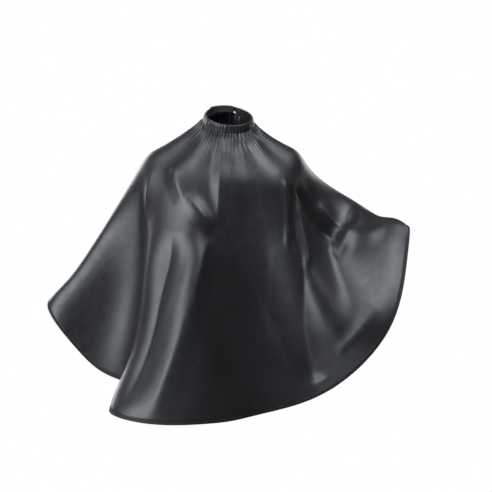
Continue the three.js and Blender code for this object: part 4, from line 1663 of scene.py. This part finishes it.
@dataclass(frozen=True)
class Studio:
    """The pale floor, the lamps and the camera, which faces +Y and looks down a little.

    The frame width is how many metres the view spans at its target. The sky lights the cape,
    and the backdrop is how bright it looks to the camera.
    """

    target: tuple[float, float, float] = (0.0411, 0.0, -0.2914)
    distance: float = 3.6
    elevation: float = np.radians(4.0)
    frame_width: float = 1.1562
    sensor: float = 36.0
    floor_level: float = -1.35
    floor_reach: float = 1.5
    sky: float = 0.05
    backdrop: float = 1.0
    lamps: tuple[SoftBox, ...] = (
        SoftBox((-2.0, -1.7, 0.5), (1.5, 2.2), 75.0),
        SoftBox((1.0, -0.7, 2.0), (1.3, 1.3), 40.0),
        SoftBox((-0.9, -0.9, 2.0), (1.2, 1.2), 22.0),
        SoftBox((-1.8, 2.2, 0.4), (1.5, 1.8), 45.0),
        SoftBox((1.6, 2.4, 0.2), (1.2, 1.8), 20.0),
    )

    def build(self) -> None:
        """Adds the camera, the floor, the white surroundings and the lamps."""
        scene = bpy.context.scene
        scene.view_settings.view_transform = "Standard"
        camera = bpy.data.cameras.new("camera")
        eye = bpy.data.objects.new("camera", camera)
        scene.collection.objects.link(eye)
        scene.camera = eye
        back = Vector((0.0, -np.cos(self.elevation), np.sin(self.elevation)))
        eye.location = Vector(self.target) + back * self.distance
        eye.rotation_mode = "QUATERNION"
        eye.rotation_quaternion = (-back).to_track_quat("-Z", "Y")
        camera.sensor_width = self.sensor
        camera.lens = self.sensor * self.distance / self.frame_width
        camera.clip_end = 200.0
        self.surround(scene)
        self.floor(scene)
        for lamp in self.lamps:
            lamp.build()

    def surround(self, scene: bpy.types.Scene) -> None:
        """A white backdrop all round that lights the cape only faintly.

        Args:
            scene: the scene that gets it as its world.
        """
        world = bpy.data.worlds.new("surround")
        scene.world = world
        world.use_nodes = True
        tree = world.node_tree
        light, seen = tree.nodes["Background"], tree.nodes.new("ShaderNodeBackground")
        for shader, strength in ((light, self.sky), (seen, self.backdrop)):
            shader.inputs["Color"].default_value = WHITE
            shader.inputs["Strength"].default_value = strength
        path = tree.nodes.new("ShaderNodeLightPath")
        mix = tree.nodes.new("ShaderNodeMixShader")
        tree.links.new(path.outputs["Is Camera Ray"], mix.inputs[0])
        tree.links.new(light.outputs[0], mix.inputs[1])
        tree.links.new(seen.outputs[0], mix.inputs[2])
        tree.links.new(mix.outputs[0], tree.nodes["World Output"].inputs["Surface"])

    def floor(self, scene: bpy.types.Scene) -> None:
        """A plain pale floor, far below the cape.

        Args:
            scene: the scene that the floor is put in.
        """
        reach, level = self.floor_reach, self.floor_level
        mesh = bpy.data.meshes.new("floor")
        corners = [(-reach, -reach, level), (reach, -reach, level), (reach, reach, level),
                   (-reach, reach, level)]
        mesh.from_pydata(corners, [], [(0, 1, 2, 3)])
        floor = bpy.data.objects.new("floor", mesh)
        scene.collection.objects.link(floor)
        bench = Bench("pale_floor")
        bench.shader.inputs["Base Color"].default_value = (0.93, 0.93, 0.93, 1.0)
        bench.shader.inputs["Roughness"].default_value = 0.9
        mesh.materials.append(bench.material)


# ------------------------------------------------------------------ the cape


FRAME_PIECES: dict[str, FrameFinish] = {
    "neck_elastic": FrameFinish.ELASTIC,
    "elastic_bartack_left": FrameFinish.STITCHING,
    "elastic_bartack_right": FrameFinish.STITCHING,
    "loop_strip": FrameFinish.LOOPS,
    "loop_strip_thread": FrameFinish.STITCHING,
    "hook_strip": FrameFinish.HOOKS,
    "hook_strip_thread": FrameFinish.STITCHING,
    "closure_tab_lining": FrameFinish.CLOTH,
    "closure_tab_face": FrameFinish.CLOTH,
    "closure_tab_root": FrameFinish.CLOTH,
    "tab_edge_thread": FrameFinish.STITCHING,
}


@dataclass(frozen=True)
class Sewing:
    """Which rows and columns of the fitted cloth the bindings are laid along."""

    hem_rows: int = 12
    edge_columns: int = 40
    clear_top: int = 4
    clear_hem: int = 2
    tucked_rows: tuple[int, int] = (4, 2)

    def flat_with_tuck(self, fitted: FittedCloth) -> np.ndarray:
        """The cloth's flat places with its tucked rows, which mirror rows below the seam."""
        flat = fitted.flat()
        tucked = [2.0 * flat[:, 0] - flat[:, row] for row in self.tucked_rows]
        return np.concatenate([np.stack(tucked, axis=1), flat], axis=1)

    def bind(self, fitted: FittedCloth, grid: np.ndarray,
             flat: np.ndarray) -> list[bpy.types.Object]:
        """Binds the hem and then both back edges.

        Args:
            fitted: the fitted cloth.
            grid: its places, of shape (columns, tucked rows + rows, 3).
            flat: its flat places.

        Returns:
            The tapes and their stitches.
        """
        up_from_hem = np.moveaxis(grid, 1, 0)[::-1][:self.hem_rows]
        hem = EdgeBinding("hem_tape", up_from_hem, flat[:, -1, 0], "hem_stitches")
        pieces = hem.build(("hem_binding", "hem_thread"))
        rows = slice(len(fitted.tuck) + self.clear_top, -self.clear_hem)
        for side, lines in (("left", grid), ("right", grid[::-1])):
            edge = EdgeBinding(f"back_edge_tape_{side}", lines[:self.edge_columns, rows],
                               flat[0, rows, 1], f"back_edge_stitches_{side}")
            pieces += edge.build((f"back_edge_binding_{side}", f"back_edge_thread_{side}"))
        return pieces


def dress_frame() -> None:
    """Gives each CAD node that is shown as it is its finish."""
    for name, choice in FRAME_PIECES.items():
        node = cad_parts[name]
        node.data.materials.clear()
        node.data.materials.append(choice.value.material())
        LOG.info("%s keeps its frame shape in %s", name, choice.value.slot)


def main() -> None:
    """Drapes the cloth, sews the pieces to it, and sets up the studio."""
    logging.basicConfig(level=logging.INFO, format="%(name)s: %(message)s")
    Studio().build()
    drape, sewing = Drape(), Sewing()
    fitted = FittedCloth(drape.cut, drape.ring)
    grid = fitted.lay(drape.settle())
    flat = sewing.flat_with_tuck(fitted)
    cloth = CapeCloth(grid, flat).build()
    pieces = sewing.bind(fitted, grid, flat)
    band = NeckBand(drape.cut, drape.ring, grid).build()
    dress_frame()
    drape.cut.extent()
    drape.cut.area()
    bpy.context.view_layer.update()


if __name__ == "__main__":
    main()
